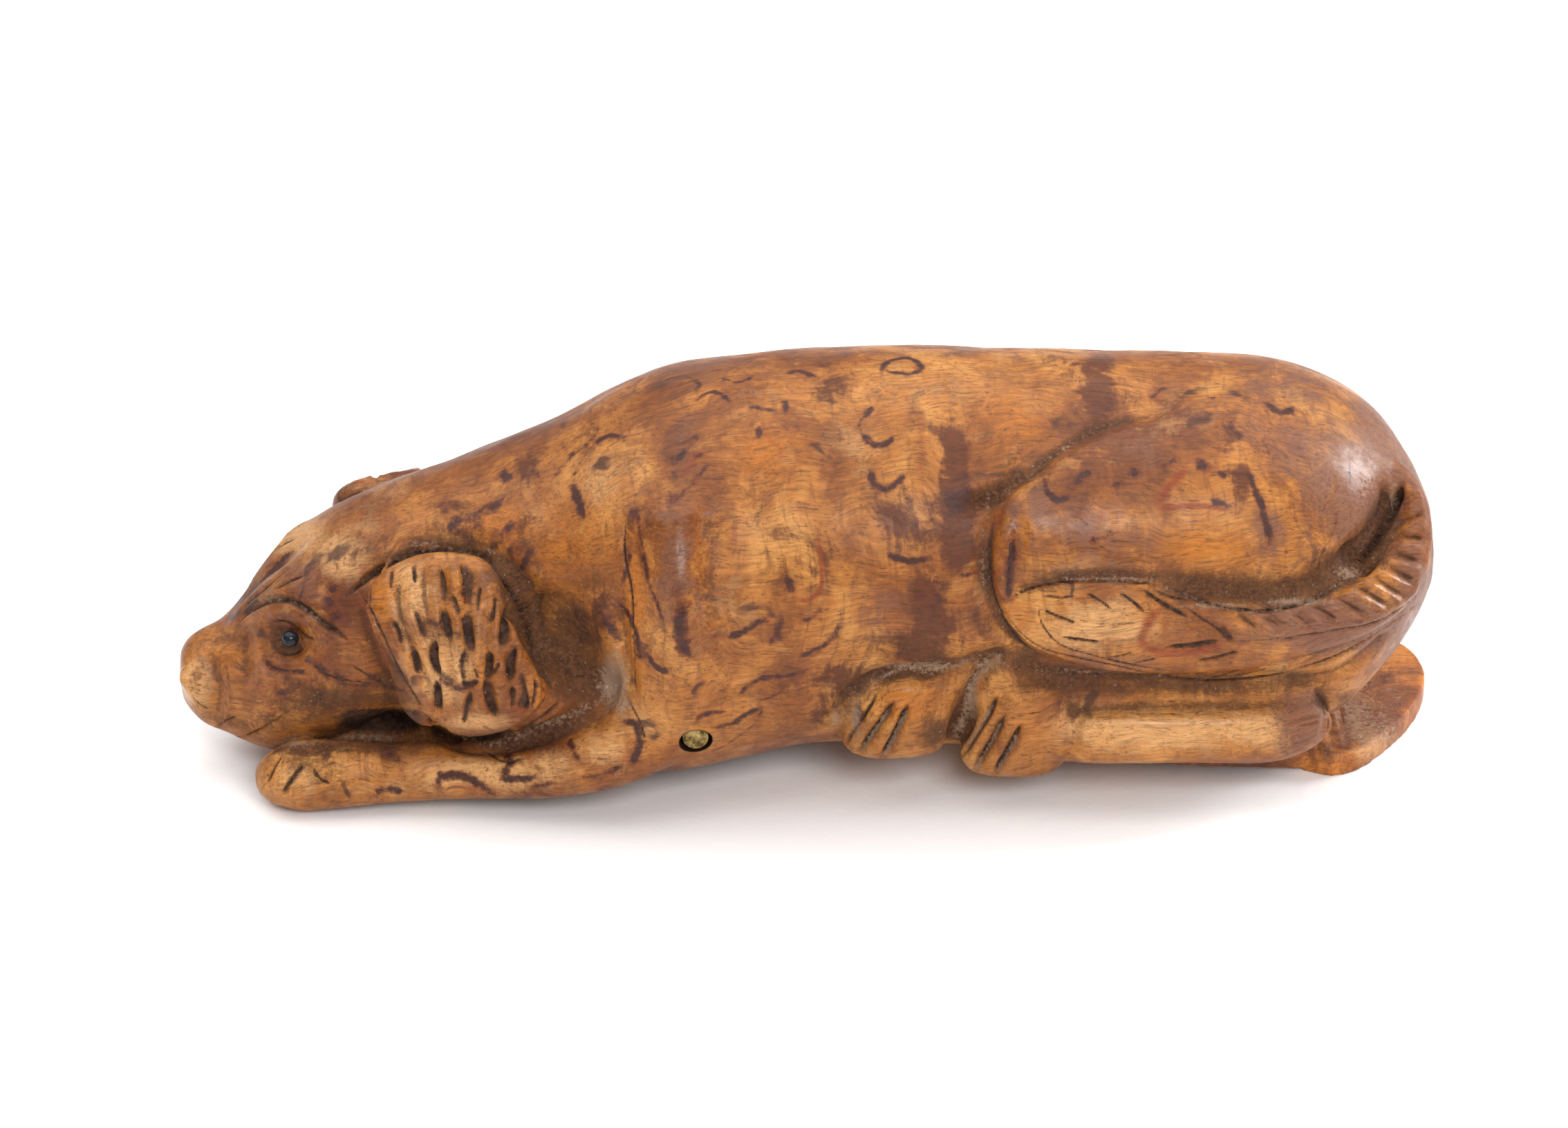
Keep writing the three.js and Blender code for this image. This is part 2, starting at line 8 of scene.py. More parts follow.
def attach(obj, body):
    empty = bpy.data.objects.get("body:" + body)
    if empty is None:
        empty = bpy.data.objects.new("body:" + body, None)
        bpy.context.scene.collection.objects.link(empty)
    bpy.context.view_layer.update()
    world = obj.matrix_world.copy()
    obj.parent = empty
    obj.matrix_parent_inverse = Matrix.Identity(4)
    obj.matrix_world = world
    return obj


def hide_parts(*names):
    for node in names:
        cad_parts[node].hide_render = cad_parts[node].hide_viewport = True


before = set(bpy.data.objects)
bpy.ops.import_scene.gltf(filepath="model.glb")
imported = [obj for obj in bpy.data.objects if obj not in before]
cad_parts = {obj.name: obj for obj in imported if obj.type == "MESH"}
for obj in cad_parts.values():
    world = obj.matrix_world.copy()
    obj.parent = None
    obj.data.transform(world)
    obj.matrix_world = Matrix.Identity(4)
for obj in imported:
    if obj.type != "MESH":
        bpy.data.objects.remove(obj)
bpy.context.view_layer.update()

# Viewpoint
# The box is seen from the side with its tail, from thirty degrees above the table. Lengths
# below are in millimetres, and each piece becomes metres once its shape is finished.
MM = 0.001
AIM = np.array([-2.37, 0.0, 16.92])
FAR = 480.0
TURN = math.radians(-3)
RISE = math.radians(30)
PICTURE = (2268, 1631)
LENS = 126.94
SENSOR = 36.0
BACK = np.array([math.sin(TURN) * math.cos(RISE), -math.cos(TURN) * math.cos(RISE), math.sin(RISE)])
SIDE = np.array([math.cos(TURN), math.sin(TURN), 0.0])
OVER = np.cross(BACK, SIDE)
EYE_POINT = AIM + FAR * BACK
lens = bpy.data.cameras.new("viewpoint")
lens.sensor_width = SENSOR
lens.lens = LENS
lens.clip_start = 0.01
lens.clip_end = 20.0
viewpoint = bpy.data.objects.new("viewpoint", lens)
stand = Matrix([[SIDE[k], OVER[k], BACK[k], EYE_POINT[k] * MM] for k in range(3)] + [[0, 0, 0, 1]])
viewpoint.matrix_world = stand
bpy.context.scene.collection.objects.link(viewpoint)
bpy.context.scene.camera = viewpoint
bpy.context.scene.view_settings.view_transform = "Standard"

# The hound
# One block of burr wood, carved all round as a dog asleep on its forepaws and hollowed from
# below to hold the snuff. Its forms come first: the trunk, haunches, legs, tail and ears.
# Rows of TRUNK and HAUNCH are x, the middle's y and z, half width and half height, and TRUNK adds
# the power above and below. Rows of the limbs are x, y, z and two half sizes, those of EAR z, x, y
# and two half sizes, and those of SWELLS x, y, z, the reach along each, and the height.
TRUNK = [
    (-54.9, -1.6, 8.3, 1.9, 2.1, 2.0, 2.0),
    (-54.2, -1.5, 8.2, 3.0, 3.2, 2.0, 2.0),
    (-53.0, -1.4, 8.0, 3.9, 4.1, 2.1, 2.2),
    (-51.2, -1.2, 8.0, 4.8, 4.9, 2.1, 2.3),
    (-49.2, -1.0, 8.7, 6.0, 6.5, 2.1, 2.4),
    (-47.4, -0.8, 9.5, 7.2, 7.9, 2.2, 2.4),
    (-45.6, -0.5, 10.2, 8.0, 8.7, 2.2, 2.4),
    (-43.0, 0.0, 11.6, 8.9, 9.5, 2.2, 2.3),
    (-40.0, 0.2, 13.1, 9.5, 9.8, 2.2, 2.2),
    (-36.5, 0.3, 14.6, 10.0, 9.8, 2.1, 2.1),
    (-33.5, 0.3, 14.5, 10.8, 11.0, 2.1, 2.2),
    (-31.0, 0.3, 14.3, 11.7, 12.1, 2.0, 2.3),
    (-27.0, 0.2, 14.9, 13.1, 13.0, 2.0, 2.5),
    (-22.0, 0.0, 15.8, 14.7, 14.0, 2.0, 2.7),
    (-17.0, 0.0, 16.7, 16.3, 15.7, 2.0, 2.8),
    (-12.0, 0.0, 17.9, 16.9, 16.5, 2.0, 3.0),
    (-6.0, 0.0, 18.6, 16.8, 16.9, 2.0, 2.5),
    (0.0, 0.0, 19.0, 16.7, 16.9, 2.0, 2.2),
    (8.0, 0.0, 19.2, 16.4, 16.9, 2.0, 2.5),
    (16.0, 0.0, 19.2, 16.2, 16.4, 2.0, 2.9),
    (26.0, 0.0, 19.0, 16.1, 16.0, 2.0, 3.1),
    (35.0, 0.0, 18.8, 16.1, 15.7, 2.0, 3.1),
    (41.0, 0.0, 18.6, 15.8, 15.2, 2.0, 3.0),
    (45.5, -0.3, 18.5, 14.2, 13.7, 2.0, 2.6),
    (49.2, -0.7, 18.6, 11.5, 10.9, 2.0, 2.1),
    (51.8, -1.0, 18.6, 8.3, 7.3, 2.0, 2.0),
    (53.4, -1.2, 18.4, 4.5, 4.1, 2.0, 2.0),
]
SWELLS = [
    (-45.6, 4.6, 18.3, 2.4, 2.2, 2.6, 0.9),
    (-46.6, 0.0, 18.6, 4.0, 1.1, 3.0, -0.9),
    (-49.2, 6.0, 12.6, 2.0, 3.0, 2.2, -0.5),
    (-45.0, 8.2, 15.3, 1.7, 2.0, 1.5, -0.9),
    (-41.5, 9.0, 10.5, 3.0, 3.0, 3.4, 0.5),
    (-20.2, 15.0, 17.0, 3.4, 6.0, 6.5, -2.6),
    (-11.5, 14.5, 23.5, 3.6, 7.0, 8.0, 0.7),
    (-4.0, 15.0, 21.0, 4.0, 7.0, 8.0, -0.5),
    (8.0, 16.0, 13.0, 5.5, 6.0, 6.0, -0.7),
    (-2.0, 0.0, 35.5, 7.0, 6.0, 4.0, -0.3),
]
HAUNCH = [
    (13.5, -14.3, 24.2, 0.9, 2.8),
    (14.3, -12.6, 24.0, 3.9, 5.8),
    (16.2, -10.8, 23.6, 6.5, 8.4),
    (20.0, -8.6, 22.6, 9.0, 10.7),
    (25.0, -6.6, 21.8, 11.0, 12.4),
    (31.0, -4.8, 21.2, 12.6, 13.3),
    (37.0, -3.6, 20.8, 13.3, 13.5),
    (43.0, -2.9, 20.1, 12.5, 12.6),
    (47.0, -2.6, 19.4, 10.7, 10.9),
    (50.3, -2.2, 18.8, 7.9, 8.2),
    (52.4, -2.0, 18.4, 4.9, 5.2),
]
FORELEG = [
    (-48.2, -9.6, 2.1, 1.3, 1.2),
    (-47.2, -9.7, 2.4, 2.5, 2.2),
    (-44.8, -9.9, 2.9, 3.2, 3.1),
    (-41.5, -10.2, 3.1, 2.9, 3.0),
    (-37.5, -10.6, 3.3, 2.5, 2.6),
    (-32.5, -11.0, 3.7, 2.4, 2.5),
    (-27.5, -11.8, 4.3, 2.5, 2.7),
    (-22.5, -12.5, 5.2, 2.9, 3.0),
    (-17.5, -12.9, 7.2, 3.8, 3.7),
    (-12.5, -12.0, 9.6, 4.2, 4.0),
]
SHANK = [
    (19.5, -13.8, 7.7, 2.4, 2.4),
    (23.0, -14.3, 8.0, 3.0, 2.9),
    (29.0, -14.5, 8.2, 3.0, 3.0),
    (35.0, -14.4, 8.0, 3.0, 3.1),
    (39.5, -13.9, 8.0, 3.1, 3.2),
    (41.8, -13.3, 8.5, 2.6, 2.8),
    (42.7, -12.6, 9.1, 1.4, 1.7),
]
NEAR_FOOT = [
    (20.3, -12.8, 15.2, 2.2, 2.0),
    (19.2, -13.4, 12.6, 3.9, 2.9),
    (18.0, -13.5, 9.6, 4.6, 3.1),
    (17.0, -13.1, 6.8, 4.8, 2.9),
    (16.4, -12.7, 4.6, 4.5, 2.4),
    (16.2, -12.5, 3.5, 3.4, 1.5),
]
FAR_FOOT = [
    (9.4, -12.6, 15.4, 2.2, 1.9),
    (8.4, -13.2, 13.2, 3.7, 2.8),
    (7.5, -13.1, 10.6, 4.4, 3.2),
    (6.6, -12.5, 8.2, 4.8, 3.0),
    (6.2, -12.0, 6.3, 4.4, 2.4),
    (6.1, -11.8, 5.2, 3.3, 1.5),
]
TAIL = [
    (48.8, -4.2, 27.6, 1.0, 1.1),
    (49.6, -6.2, 26.3, 2.1, 1.8),
    (49.9, -8.9, 24.0, 2.6, 1.9),
    (49.0, -11.6, 22.0, 2.9, 1.9),
    (46.8, -13.8, 20.6, 2.9, 1.8),
    (43.8, -15.2, 19.4, 2.7, 1.7),
    (39.8, -15.8, 18.5, 2.7, 1.7),
    (35.4, -16.0, 17.7, 3.1, 1.7),
    (30.0, -16.1, 18.3, 4.0, 1.7),
    (24.0, -16.1, 19.2, 4.1, 1.7),
    (19.0, -15.9, 20.2, 3.0, 1.7),
    (16.2, -15.7, 21.1, 1.7, 1.4),
    (15.0, -15.5, 21.5, 0.7, 0.8),
]
EAR = [
    (24.1, -31.0, -7.6, 3.0, 0.8),
    (23.2, -31.6, -8.8, 5.0, 1.6),
    (21.2, -31.8, -10.2, 6.3, 2.3),
    (18.4, -31.0, -11.5, 6.9, 2.8),
    (15.6, -30.0, -12.5, 7.0, 3.0),
    (13.2, -29.8, -13.0, 6.7, 2.8),
    (11.0, -30.2, -13.0, 5.6, 2.3),
    (9.3, -30.8, -12.7, 3.8, 1.5),
    (8.5, -31.0, -12.5, 2.0, 0.8),
]
BREAST = [
    (-44.5, 0.0, 1.8, 3.0, 1.6),
    (-40.0, 0.0, 2.6, 5.0, 2.5),
    (-32.0, 0.0, 3.4, 6.5, 3.4),
    (-24.0, 0.0, 4.2, 7.5, 4.2),
    (-16.0, 0.0, 5.2, 7.5, 5.0),
]
EAR_TURN = -0.26
EAR_FAR = (-3.6, -0.3, -1.6)
HAUNCH_FAR = (0.4, -2.2)


def between(table, key):
    """Rows of a table at any key: cubic curves through its rows, whose slope at a row is that of
    the line through its two neighbours."""
    table = np.array(table, float)
    key = np.atleast_1d(np.array(key, float))
    sign = np.sign(table[-1, 0] - table[0, 0])
    last = len(table) - 1
    start = np.clip(np.searchsorted(sign * table[:, 0], sign * key) - 1, 0, last - 1)
    low = np.maximum(np.arange(last + 1) - 1, 0)
    high = np.minimum(np.arange(last + 1) + 1, last)
    slope = (table[high] - table[low]) / (table[high, :1] - table[low, :1])
    step = table[start + 1, :1] - table[start, :1]
    t = (key[:, None] - table[start, :1]) / step
    return ((2 * t**3 - 3 * t**2 + 1) * table[start] + (t**3 - 2 * t**2 + t) * slope[start] * step
            + (3 * t**2 - 2 * t**3) * table[start + 1] + (t**3 - t**2) * slope[start + 1] * step)


def rounded(angle, power):
    """A point on a rounded square: the cosine and sine of the angle, each keeping its sign, raised
    to 2 over the power. A power of 2 is a circle."""
    c = np.cos(angle)
    s = np.sin(angle)
    return np.sign(c) * np.abs(c) ** (2 / power), np.sign(s) * np.abs(s) ** (2 / power)


def closed(rings):
    """A skin over rings of points, K rings by J points, with a middle point at either end."""
    count, around = rings.shape[:2]
    points = np.vstack([rings.reshape(-1, 3), rings[0].mean(0), rings[-1].mean(0)])
    k, j = np.meshgrid(np.arange(count - 1), np.arange(around), indexing="ij")
    n = (j + 1) % around
    walls = np.stack([k * around + j, k * around + n, (k + 1) * around + n, (k + 1) * around + j], -1)
    j = np.arange(around)
    n = (j + 1) % around
    first = np.stack([np.full(around, count * around), n, j], -1)
    base = (count - 1) * around
    end = np.stack([np.full(around, count * around + 1), base + j, base + n], -1)
    return points, walls.reshape(-1, 4).tolist() + first.tolist() + end.tolist()


def line_through(points, t):
    """A smooth line through points, each stretch a cubic whose pace follows the square root of the
    distances between the points; t runs from 0 to 1 over the points."""
    p = np.array(points, float)
    p = np.vstack([2 * p[0] - p[1], p, 2 * p[-1] - p[-2]])
    spot = np.clip(np.asarray(t, float) * (len(p) - 3), 0, len(p) - 3)
    i = np.minimum(spot.astype(int), len(p) - 4)
    u = (spot - i)[:, None]
    a, b, c, d = p[i], p[i + 1], p[i + 2], p[i + 3]
    pace = [np.maximum(np.linalg.norm(q - o, axis=1, keepdims=True), 1e-9) ** 0.5
            for o, q in ((a, b), (b, c), (c, d))]
    leave = ((b - a) / pace[0] - (c - a) / (pace[0] + pace[1]) + (c - b) / pace[1]) * pace[1]
    reach = ((c - b) / pace[1] - (d - b) / (pace[1] + pace[2]) + (d - c) / pace[2]) * pace[1]
    return (b + leave * u + (-3 * b + 3 * c - 2 * leave - reach) * u**2
            + (2 * b - 2 * c + leave + reach) * u**3)


def unit(v):
    """Each row at a length of one."""
    return v / np.maximum(np.linalg.norm(v, axis=-1, keepdims=True), 1e-12)


def trunk():
    """Upright rings along X. Each is a rounded square with its own middle, half width and half
    height, pushed out or in along its own direction by soft round swellings."""
    x = np.concatenate([np.linspace(-54.9, -50, 30), np.linspace(-49.8, 46, 260),
                        np.linspace(46.3, 53.4, 34)])
    at = between(TRUNK, x)[:, :, None]
    angle = 2 * np.pi * (np.arange(240) + 0.5) / 240
    power = np.where(np.sin(angle) > 0, at[:, 5], at[:, 6])
    c, s = rounded(angle, power)
    p = [np.broadcast_to(x[:, None], c.shape), at[:, 1] + at[:, 3] * c, at[:, 2] + at[:, 4] * s]
    p = np.stack(p, -1)
    out = unit(np.stack([np.zeros_like(c), c, s], -1))
    push = np.zeros(c.shape)
    for sx, sy, sz, lx, ly, lz, high in SWELLS:
        y = p[..., 1] if sy == 0 else np.abs(p[..., 1])
        far = ((p[..., 0] - sx) / lx) ** 2 + ((y - sy) / ly) ** 2 + ((p[..., 2] - sz) / lz) ** 2
        push += high * np.exp(-far)
    return closed(p + out * push[..., None])


def haunch(side, near, low):
    """Upright rings along X, nearly round."""
    x = np.concatenate([np.linspace(13.5, 17, 24), np.linspace(17.4, 52.4, 90)])
    at = between(HAUNCH, x)[:, :, None]
    c, s = rounded(2 * np.pi * np.arange(160) / 160, 2.1)
    p = [x[:, None] + 0 * c, side * (at[:, 1] - near + at[:, 3] * c), at[:, 2] + low + at[:, 4] * s]
    return closed(np.stack(p, -1))


def ear(side, forward, near, low):
    """Level rings from the root down to the tip, each a rounded square turned out at the back."""
    top = EAR[0][0]
    z = top + (EAR[-1][0] - top) * (0.5 - 0.5 * np.cos(np.pi * (0.06 + 0.88 * np.linspace(0, 1, 70))))
    at = between(EAR, z)[:, :, None]
    c, s = rounded(2 * np.pi * np.arange(96) / 96, 2.3)
    x = at[:, 3] * c * math.cos(EAR_TURN) - at[:, 4] * s * math.sin(EAR_TURN)
    y = at[:, 3] * c * math.sin(EAR_TURN) + at[:, 4] * s * math.cos(EAR_TURN)
    p = [at[:, 1] + x + forward, side * (at[:, 2] - near + y), z[:, None] + low + 0 * c]
    return closed(np.stack(p, -1))


def limb(rows, power=2.0, middle=18.0, steps=90):
    """Rings across a smooth line, one half size across the line and one outwards from the trunk's
    own middle line."""
    rows = np.array(rows)
    t = np.linspace(0, 1, steps)
    at = line_through(rows[:, :3], t)
    ahead = line_through(rows[:, :3], np.minimum(t + 1e-4, 1))
    along = unit(ahead - line_through(rows[:, :3], np.maximum(t - 1e-4, 0)))
    out = unit(np.stack([np.zeros(steps), at[:, 1], at[:, 2] - middle], -1))
    side = unit(np.cross(along, out))
    out = unit(np.cross(side, along))
    size = between(np.column_stack([np.arange(len(rows)), rows[:, 3:5]]), t * (len(rows) - 1))
    c, s = rounded(2 * np.pi * np.arange(72) / 72, power)
    return closed(at[:, None] + side[:, None] * (c * size[:, 1:2])[..., None]
                  + out[:, None] * (s * size[:, 2:3])[..., None])


def other_side(rows):
    """The same rows on the other side of the body."""
    return [(row[0], -row[1], *row[2:]) for row in rows]


def joined(parts):
    """Several skins as one list of points and faces."""
    points = np.vstack([p for p, _ in parts])
    starts = np.cumsum([0] + [len(p) for p, _ in parts[:-1]])
    return points, [[v + s for v in face] for (_, faces), s in zip(parts, starts) for face in faces]


def mesh_of(name, points, faces):
    mesh = bpy.data.meshes.new(name)
    mesh.from_pydata(np.asarray(points).tolist(), [], faces)
    mesh.validate()
    return mesh


def shown(name, mesh):
    piece = bpy.data.objects.new(name, mesh)
    bpy.context.scene.collection.objects.link(piece)
    return piece


def finished(piece, kind, **settings):
    """The piece's mesh with a modifier worked into it."""
    modifier = piece.modifiers.new(kind, kind)
    for name, value in settings.items():
        setattr(modifier, name, value)
    graph = bpy.context.evaluated_depsgraph_get()
    mesh = bpy.data.meshes.new_from_object(piece.evaluated_get(graph))
    piece.modifiers.clear()
    old = piece.data
    piece.data = mesh
    bpy.data.meshes.remove(old)
    return mesh


forms = [
    trunk(), haunch(1, 0, 0), haunch(-1, *HAUNCH_FAR),
    limb(FORELEG), limb(other_side(FORELEG)), limb(SHANK),
    limb(NEAR_FOOT, 2.6), limb(FAR_FOOT, 2.6), limb(TAIL, 2.3, 19, 160),
    ear(1, 0, 0, 0), ear(-1, *EAR_FAR), limb(BREAST),
]
VOXEL = 0.2
hound = shown("carved_hound", mesh_of("carved_hound", *joined(forms)))
wood = finished(hound, "REMESH", mode="VOXEL", voxel_size=VOXEL)


def places(mesh):
    """A mesh's points as rows."""
    out = np.empty(3 * len(mesh.vertices), np.float32)
    mesh.vertices.foreach_get("co", out)
    return out.reshape(-1, 3).astype(float)


def put(mesh, points):
    mesh.vertices.foreach_set("co", np.asarray(points, np.float32).ravel())
    mesh.update()


def outward(mesh):
    out = np.empty(3 * len(mesh.vertices), np.float32)
    mesh.vertex_normals.foreach_get("vector", out)
    return out.reshape(-1, 3).astype(float)


def links(mesh):
    """The two ends of every edge, and how many edges meet at each point."""
    pairs = np.empty(2 * len(mesh.edges), np.int32)
    mesh.edges.foreach_get("vertices", pairs)
    a, b = pairs.reshape(-1, 2).T
    return a, b, np.bincount(pairs, minlength=len(mesh.vertices))


def eased(values, joins, rounds):
    """Each point moves half way to the mean of its neighbours, many times over."""
    a, b, count = joins
    n = len(count)
    values = values.reshape(n, -1)
    for _ in range(rounds):
        total = [np.bincount(a, v[b], n) + np.bincount(b, v[a], n) for v in values.T]
        values = values + 0.5 * (np.stack(total, -1) / count[:, None] - values)
    return values


joins = links(wood)
at = eased(places(wood), joins, 12)
put(wood, at)

# Carving
# The maker's gouge and knife cuts, each a line on the wood as it is seen from the viewpoint, with
# its half width and depth in millimetres. First come broad hollows, and ridges (below 0), then
# those of the ear.
HOLLOWS = [
    (2.6, 1.9, [(775, 850), (795, 900), (820, 945), (855, 985), (890, 1005)]),
    (1.6, 1.0, [(740, 830), (775, 880), (800, 940), (835, 1000), (885, 1012)]),
    (1.1, 0.7, [(893, 870), (898, 920), (903, 970), (906, 1005)]),
    (0.9, 0.8, [(520, 845), (560, 812), (620, 788), (680, 790), (730, 815), (755, 850), (775, 900),
                (795, 960)]),
    (1.0, 1.0, [(612, 1045), (650, 1068), (700, 1080), (750, 1072), (810, 1048), (880, 1020)]),
    (2.3, -0.85, [(966, 730), (974, 790), (980, 850), (984, 910), (988, 960)]),
    (1.7, 0.45, [(1025, 740), (1028, 800), (1030, 860), (1030, 910)]),
    (1.0, 0.5, [(1400, 732), (1440, 718), (1480, 690), (1525, 655), (1575, 625), (1630, 605),
                (1690, 590)]),
    (0.6, 0.35, [(1408, 728), (1440, 716), (1480, 688), (1520, 660)]),
    (0.8, 0.6, [(1447, 735), (1430, 770), (1425, 810), (1431, 860), (1450, 905), (1480, 940)]),
    (0.7, -0.3, [(1458, 760), (1452, 800), (1455, 850)]),
    (0.6, 0.25, [(1475, 750), (1472, 800), (1474, 850)]),
    (1.5, 1.2, [(1700, 838), (1740, 852), (1800, 862), (1860, 858), (1915, 838), (1955, 805),
                (1985, 770)]),
    (0.6, 0.5, [(1470, 858), (1500, 845), (1540, 836), (1610, 834), (1690, 842)]),
    (1.4, 1.9, [(2027, 700), (2015, 740), (1990, 785), (1960, 822)]),
    (1.4, 1.1, [(1470, 958), (1500, 972), (1560, 985), (1640, 990), (1750, 993), (1850, 990),
                (1900, 990)]),
    (0.8, 0.5, [(1880, 990), (1930, 975), (1970, 950), (2010, 915)]),
    (1.0, 1.1, [(1205, 1037), (1235, 1005), (1268, 984), (1310, 974), (1350, 976), (1400, 962),
                (1445, 942)]),
    (0.9, 1.2, [(1460, 945), (1428, 968), (1407, 992), (1396, 1032), (1376, 1082)]),
    (0.5, -0.3, [(1763, 920), (1863, 912), (1930, 902), (1980, 893), (2013, 877), (2045, 852),
                 (2052, 800)]),
    (1.6, -0.35, [(1500, 880), (1560, 895), (1640, 905), (1700, 910)]),
    (0.9, 0.5, [(396, 905), (400, 930), (418, 942), (436, 938)]),
    (0.9, -0.45, [(385, 888), (420, 884), (455, 905), (475, 925)]),
    (1.0, -0.45, [(380, 960), (420, 962), (455, 955)]), (0.9, -0.3, [(400, 850), (435, 858), (470, 885)]),
    (0.9, -0.5, [(268, 965), (276, 990), (292, 1010)]),
    (0.7, 0.4, [(302, 945), (312, 975), (316, 1010), (308, 1040)]),
    (1.0, 0.25, [(505, 880), (535, 930), (565, 990)]), (0.45, -0.4, [(270, 975), (274, 990)]),
    (0.4, 0.4, [(1790, 886), (1808, 900), (1830, 917)]),
    (0.4, 0.4, [(1828, 889), (1848, 904), (1870, 919)]),
    (0.42, 0.4, [(1872, 884), (1888, 900), (1908, 915)]),
    (0.45, 0.45, [(1897, 873), (1920, 889), (1948, 906)]),
    (0.45, 0.5, [(1928, 860), (1955, 877), (1988, 896)]),
    (0.45, 0.5, [(1960, 845), (1987, 862), (2018, 880)]),
    (0.45, 0.55, [(1982, 829), (2008, 847), (2038, 866)]),
    (0.45, 0.55, [(1998, 813), (2023, 828), (2052, 843)]),
    (0.42, 0.55, [(2010, 795), (2034, 805), (2057, 813)]),
    (0.4, 0.5, [(2020, 773), (2042, 776), (2061, 778)]),
    (0.36, 0.4, [(2026, 752), (2044, 748), (2060, 741)]),
    (1.2, 0.5, [(345, 915), (350, 945), (345, 975)]),
    (0.8, -0.35, [(1500, 1050), (1620, 1045), (1760, 1045), (1870, 1040)]),
    (0.8, 0.4, [(1548, 1010), (1552, 1050), (1548, 1090)]),
    (0.7, 0.5, [(1905, 995), (1922, 1030), (1915, 1070)]),
    (1.0, -0.4, [(430, 1105), (415, 1130), (405, 1150)]),
    (1.6, 0.4, [(1120, 1010), (1170, 985), (1215, 960), (1300, 930)]),
]
EAR_WAVES = [
    (0.7, -0.75, [(654, 822), (658, 848), (662, 858)]), (0.7, -0.6, [(702, 838), (708, 862)]),
    (0.7, -0.7, [(538, 868), (546, 896), (552, 920)]),
    (0.6, 0.6, [(572, 830), (578, 900), (603, 960), (622, 1010)]),
    (0.6, 0.55, [(608, 810), (614, 880), (628, 960), (634, 1035)]),
    (0.6, 0.6, [(640, 820), (645, 900), (652, 960), (656, 1040)]),
    (0.6, 0.65, [(680, 810), (678, 880), (676, 960), (680, 1040)]),
    (0.6, 0.6, [(705, 830), (704, 900), (706, 960), (716, 1035)]),
    (0.6, 0.65, [(732, 860), (734, 940), (744, 1000), (760, 1030)]),
    (0.6, 0.25, [(522, 870), (530, 910), (548, 960), (575, 1000)]),
]
# The cuts: the locks of the ear, the feathers of the tail, the toes, the face and the outlines.
LOCKS = [
    (0.31, 0.28, [(566, 822), (566, 853)]), (0.37, 0.37, [(599, 815), (601, 843)]),
    (0.28, 0.22, [(535, 851), (534, 873)]), (0.34, 0.39, [(568, 897), (577, 913), (580, 933)]),
    (0.44, 0.39, [(599, 881), (609, 902), (616, 925)]),
    (0.52, 0.37, [(641, 883), (646, 905), (651, 924)]),
    (0.27, 0.33, [(637, 822), (641, 839), (645, 858)]),
    (0.33, 0.41, [(668, 814), (673, 838), (672, 856)]),
    (0.54, 0.51, [(652, 862), (657, 874), (668, 890)]),
    (0.66, 0.46, [(673, 888), (676, 909), (683, 942)]),
    (0.42, 0.41, [(694, 847), (691, 862), (690, 884)]),
    (0.49, 0.43, [(719, 859), (714, 882), (708, 900)]),
    (0.48, 0.34, [(597, 939), (602, 957), (605, 974)]),
    (0.51, 0.57, [(629, 928), (627, 951), (635, 978)]),
    (0.54, 0.41, [(673, 939), (668, 967), (672, 985)]),
    (0.45, 0.51, [(708, 943), (708, 960), (705, 984)]),
    (0.54, 0.61, [(703, 983), (708, 1012), (717, 1038)]),
    (0.51, 0.57, [(630, 985), (633, 1007), (633, 1029)]),
    (0.39, 0.26, [(681, 1001), (675, 1026), (669, 1050)]),
    (0.63, 0.53, [(734, 877), (731, 902), (726, 936)]),
    (0.48, 0.59, [(746, 931), (739, 956), (738, 982)]),
    (0.32, 0.45, [(740, 993), (743, 1007), (743, 1025)]),
    (0.59, 0.49, [(752, 970), (758, 1002), (763, 1031)]),
    (0.35, 0.43, [(776, 978), (776, 1000), (770, 1027)]),
    (0.22, 0.2, [(685, 962), (688, 975), (694, 981)]), (0.3, 0.19, [(723, 956), (719, 965), (711, 976)]),
    (0.35, 0.29, [(665, 985), (680, 990), (692, 984)]),
]
FEATHERS = [
    (0.2, 0.18, [(1505, 861), (1533, 864), (1558, 862)]),
    (0.27, 0.3, [(1505, 881), (1530, 892), (1562, 904)]),
    (0.27, 0.3, [(1535, 922), (1565, 926), (1595, 930)]),
    (0.22, 0.2, [(1570, 857), (1590, 868), (1608, 882)]),
    (0.26, 0.25, [(1618, 857), (1638, 870), (1658, 887)]),
    (0.36, 0.35, [(1650, 851), (1680, 872), (1722, 894)]),
    (0.25, 0.22, [(1668, 853), (1690, 862), (1720, 868)]),
    (0.18, 0.14, [(1580, 903), (1613, 903), (1650, 901)]),
    (0.42, 0.4, [(1688, 937), (1723, 934), (1766, 927)]),
    (0.27, 0.28, [(1730, 957), (1760, 951), (1796, 941)]),
    (0.18, 0.18, [(1605, 951), (1623, 948), (1643, 942)]),
    (0.18, 0.18, [(1640, 959), (1657, 956), (1676, 951)]),
    (0.2, 0.22, [(1714, 877), (1740, 895), (1763, 911), (1778, 931)]),
    (0.45, 0.35, [(1765, 905), (1774, 917), (1782, 930)]),
    (0.2, 0.2, [(1748, 981), (1770, 976), (1794, 968)]),
    (0.2, 0.2, [(1785, 977), (1810, 973), (1840, 965)]),
]
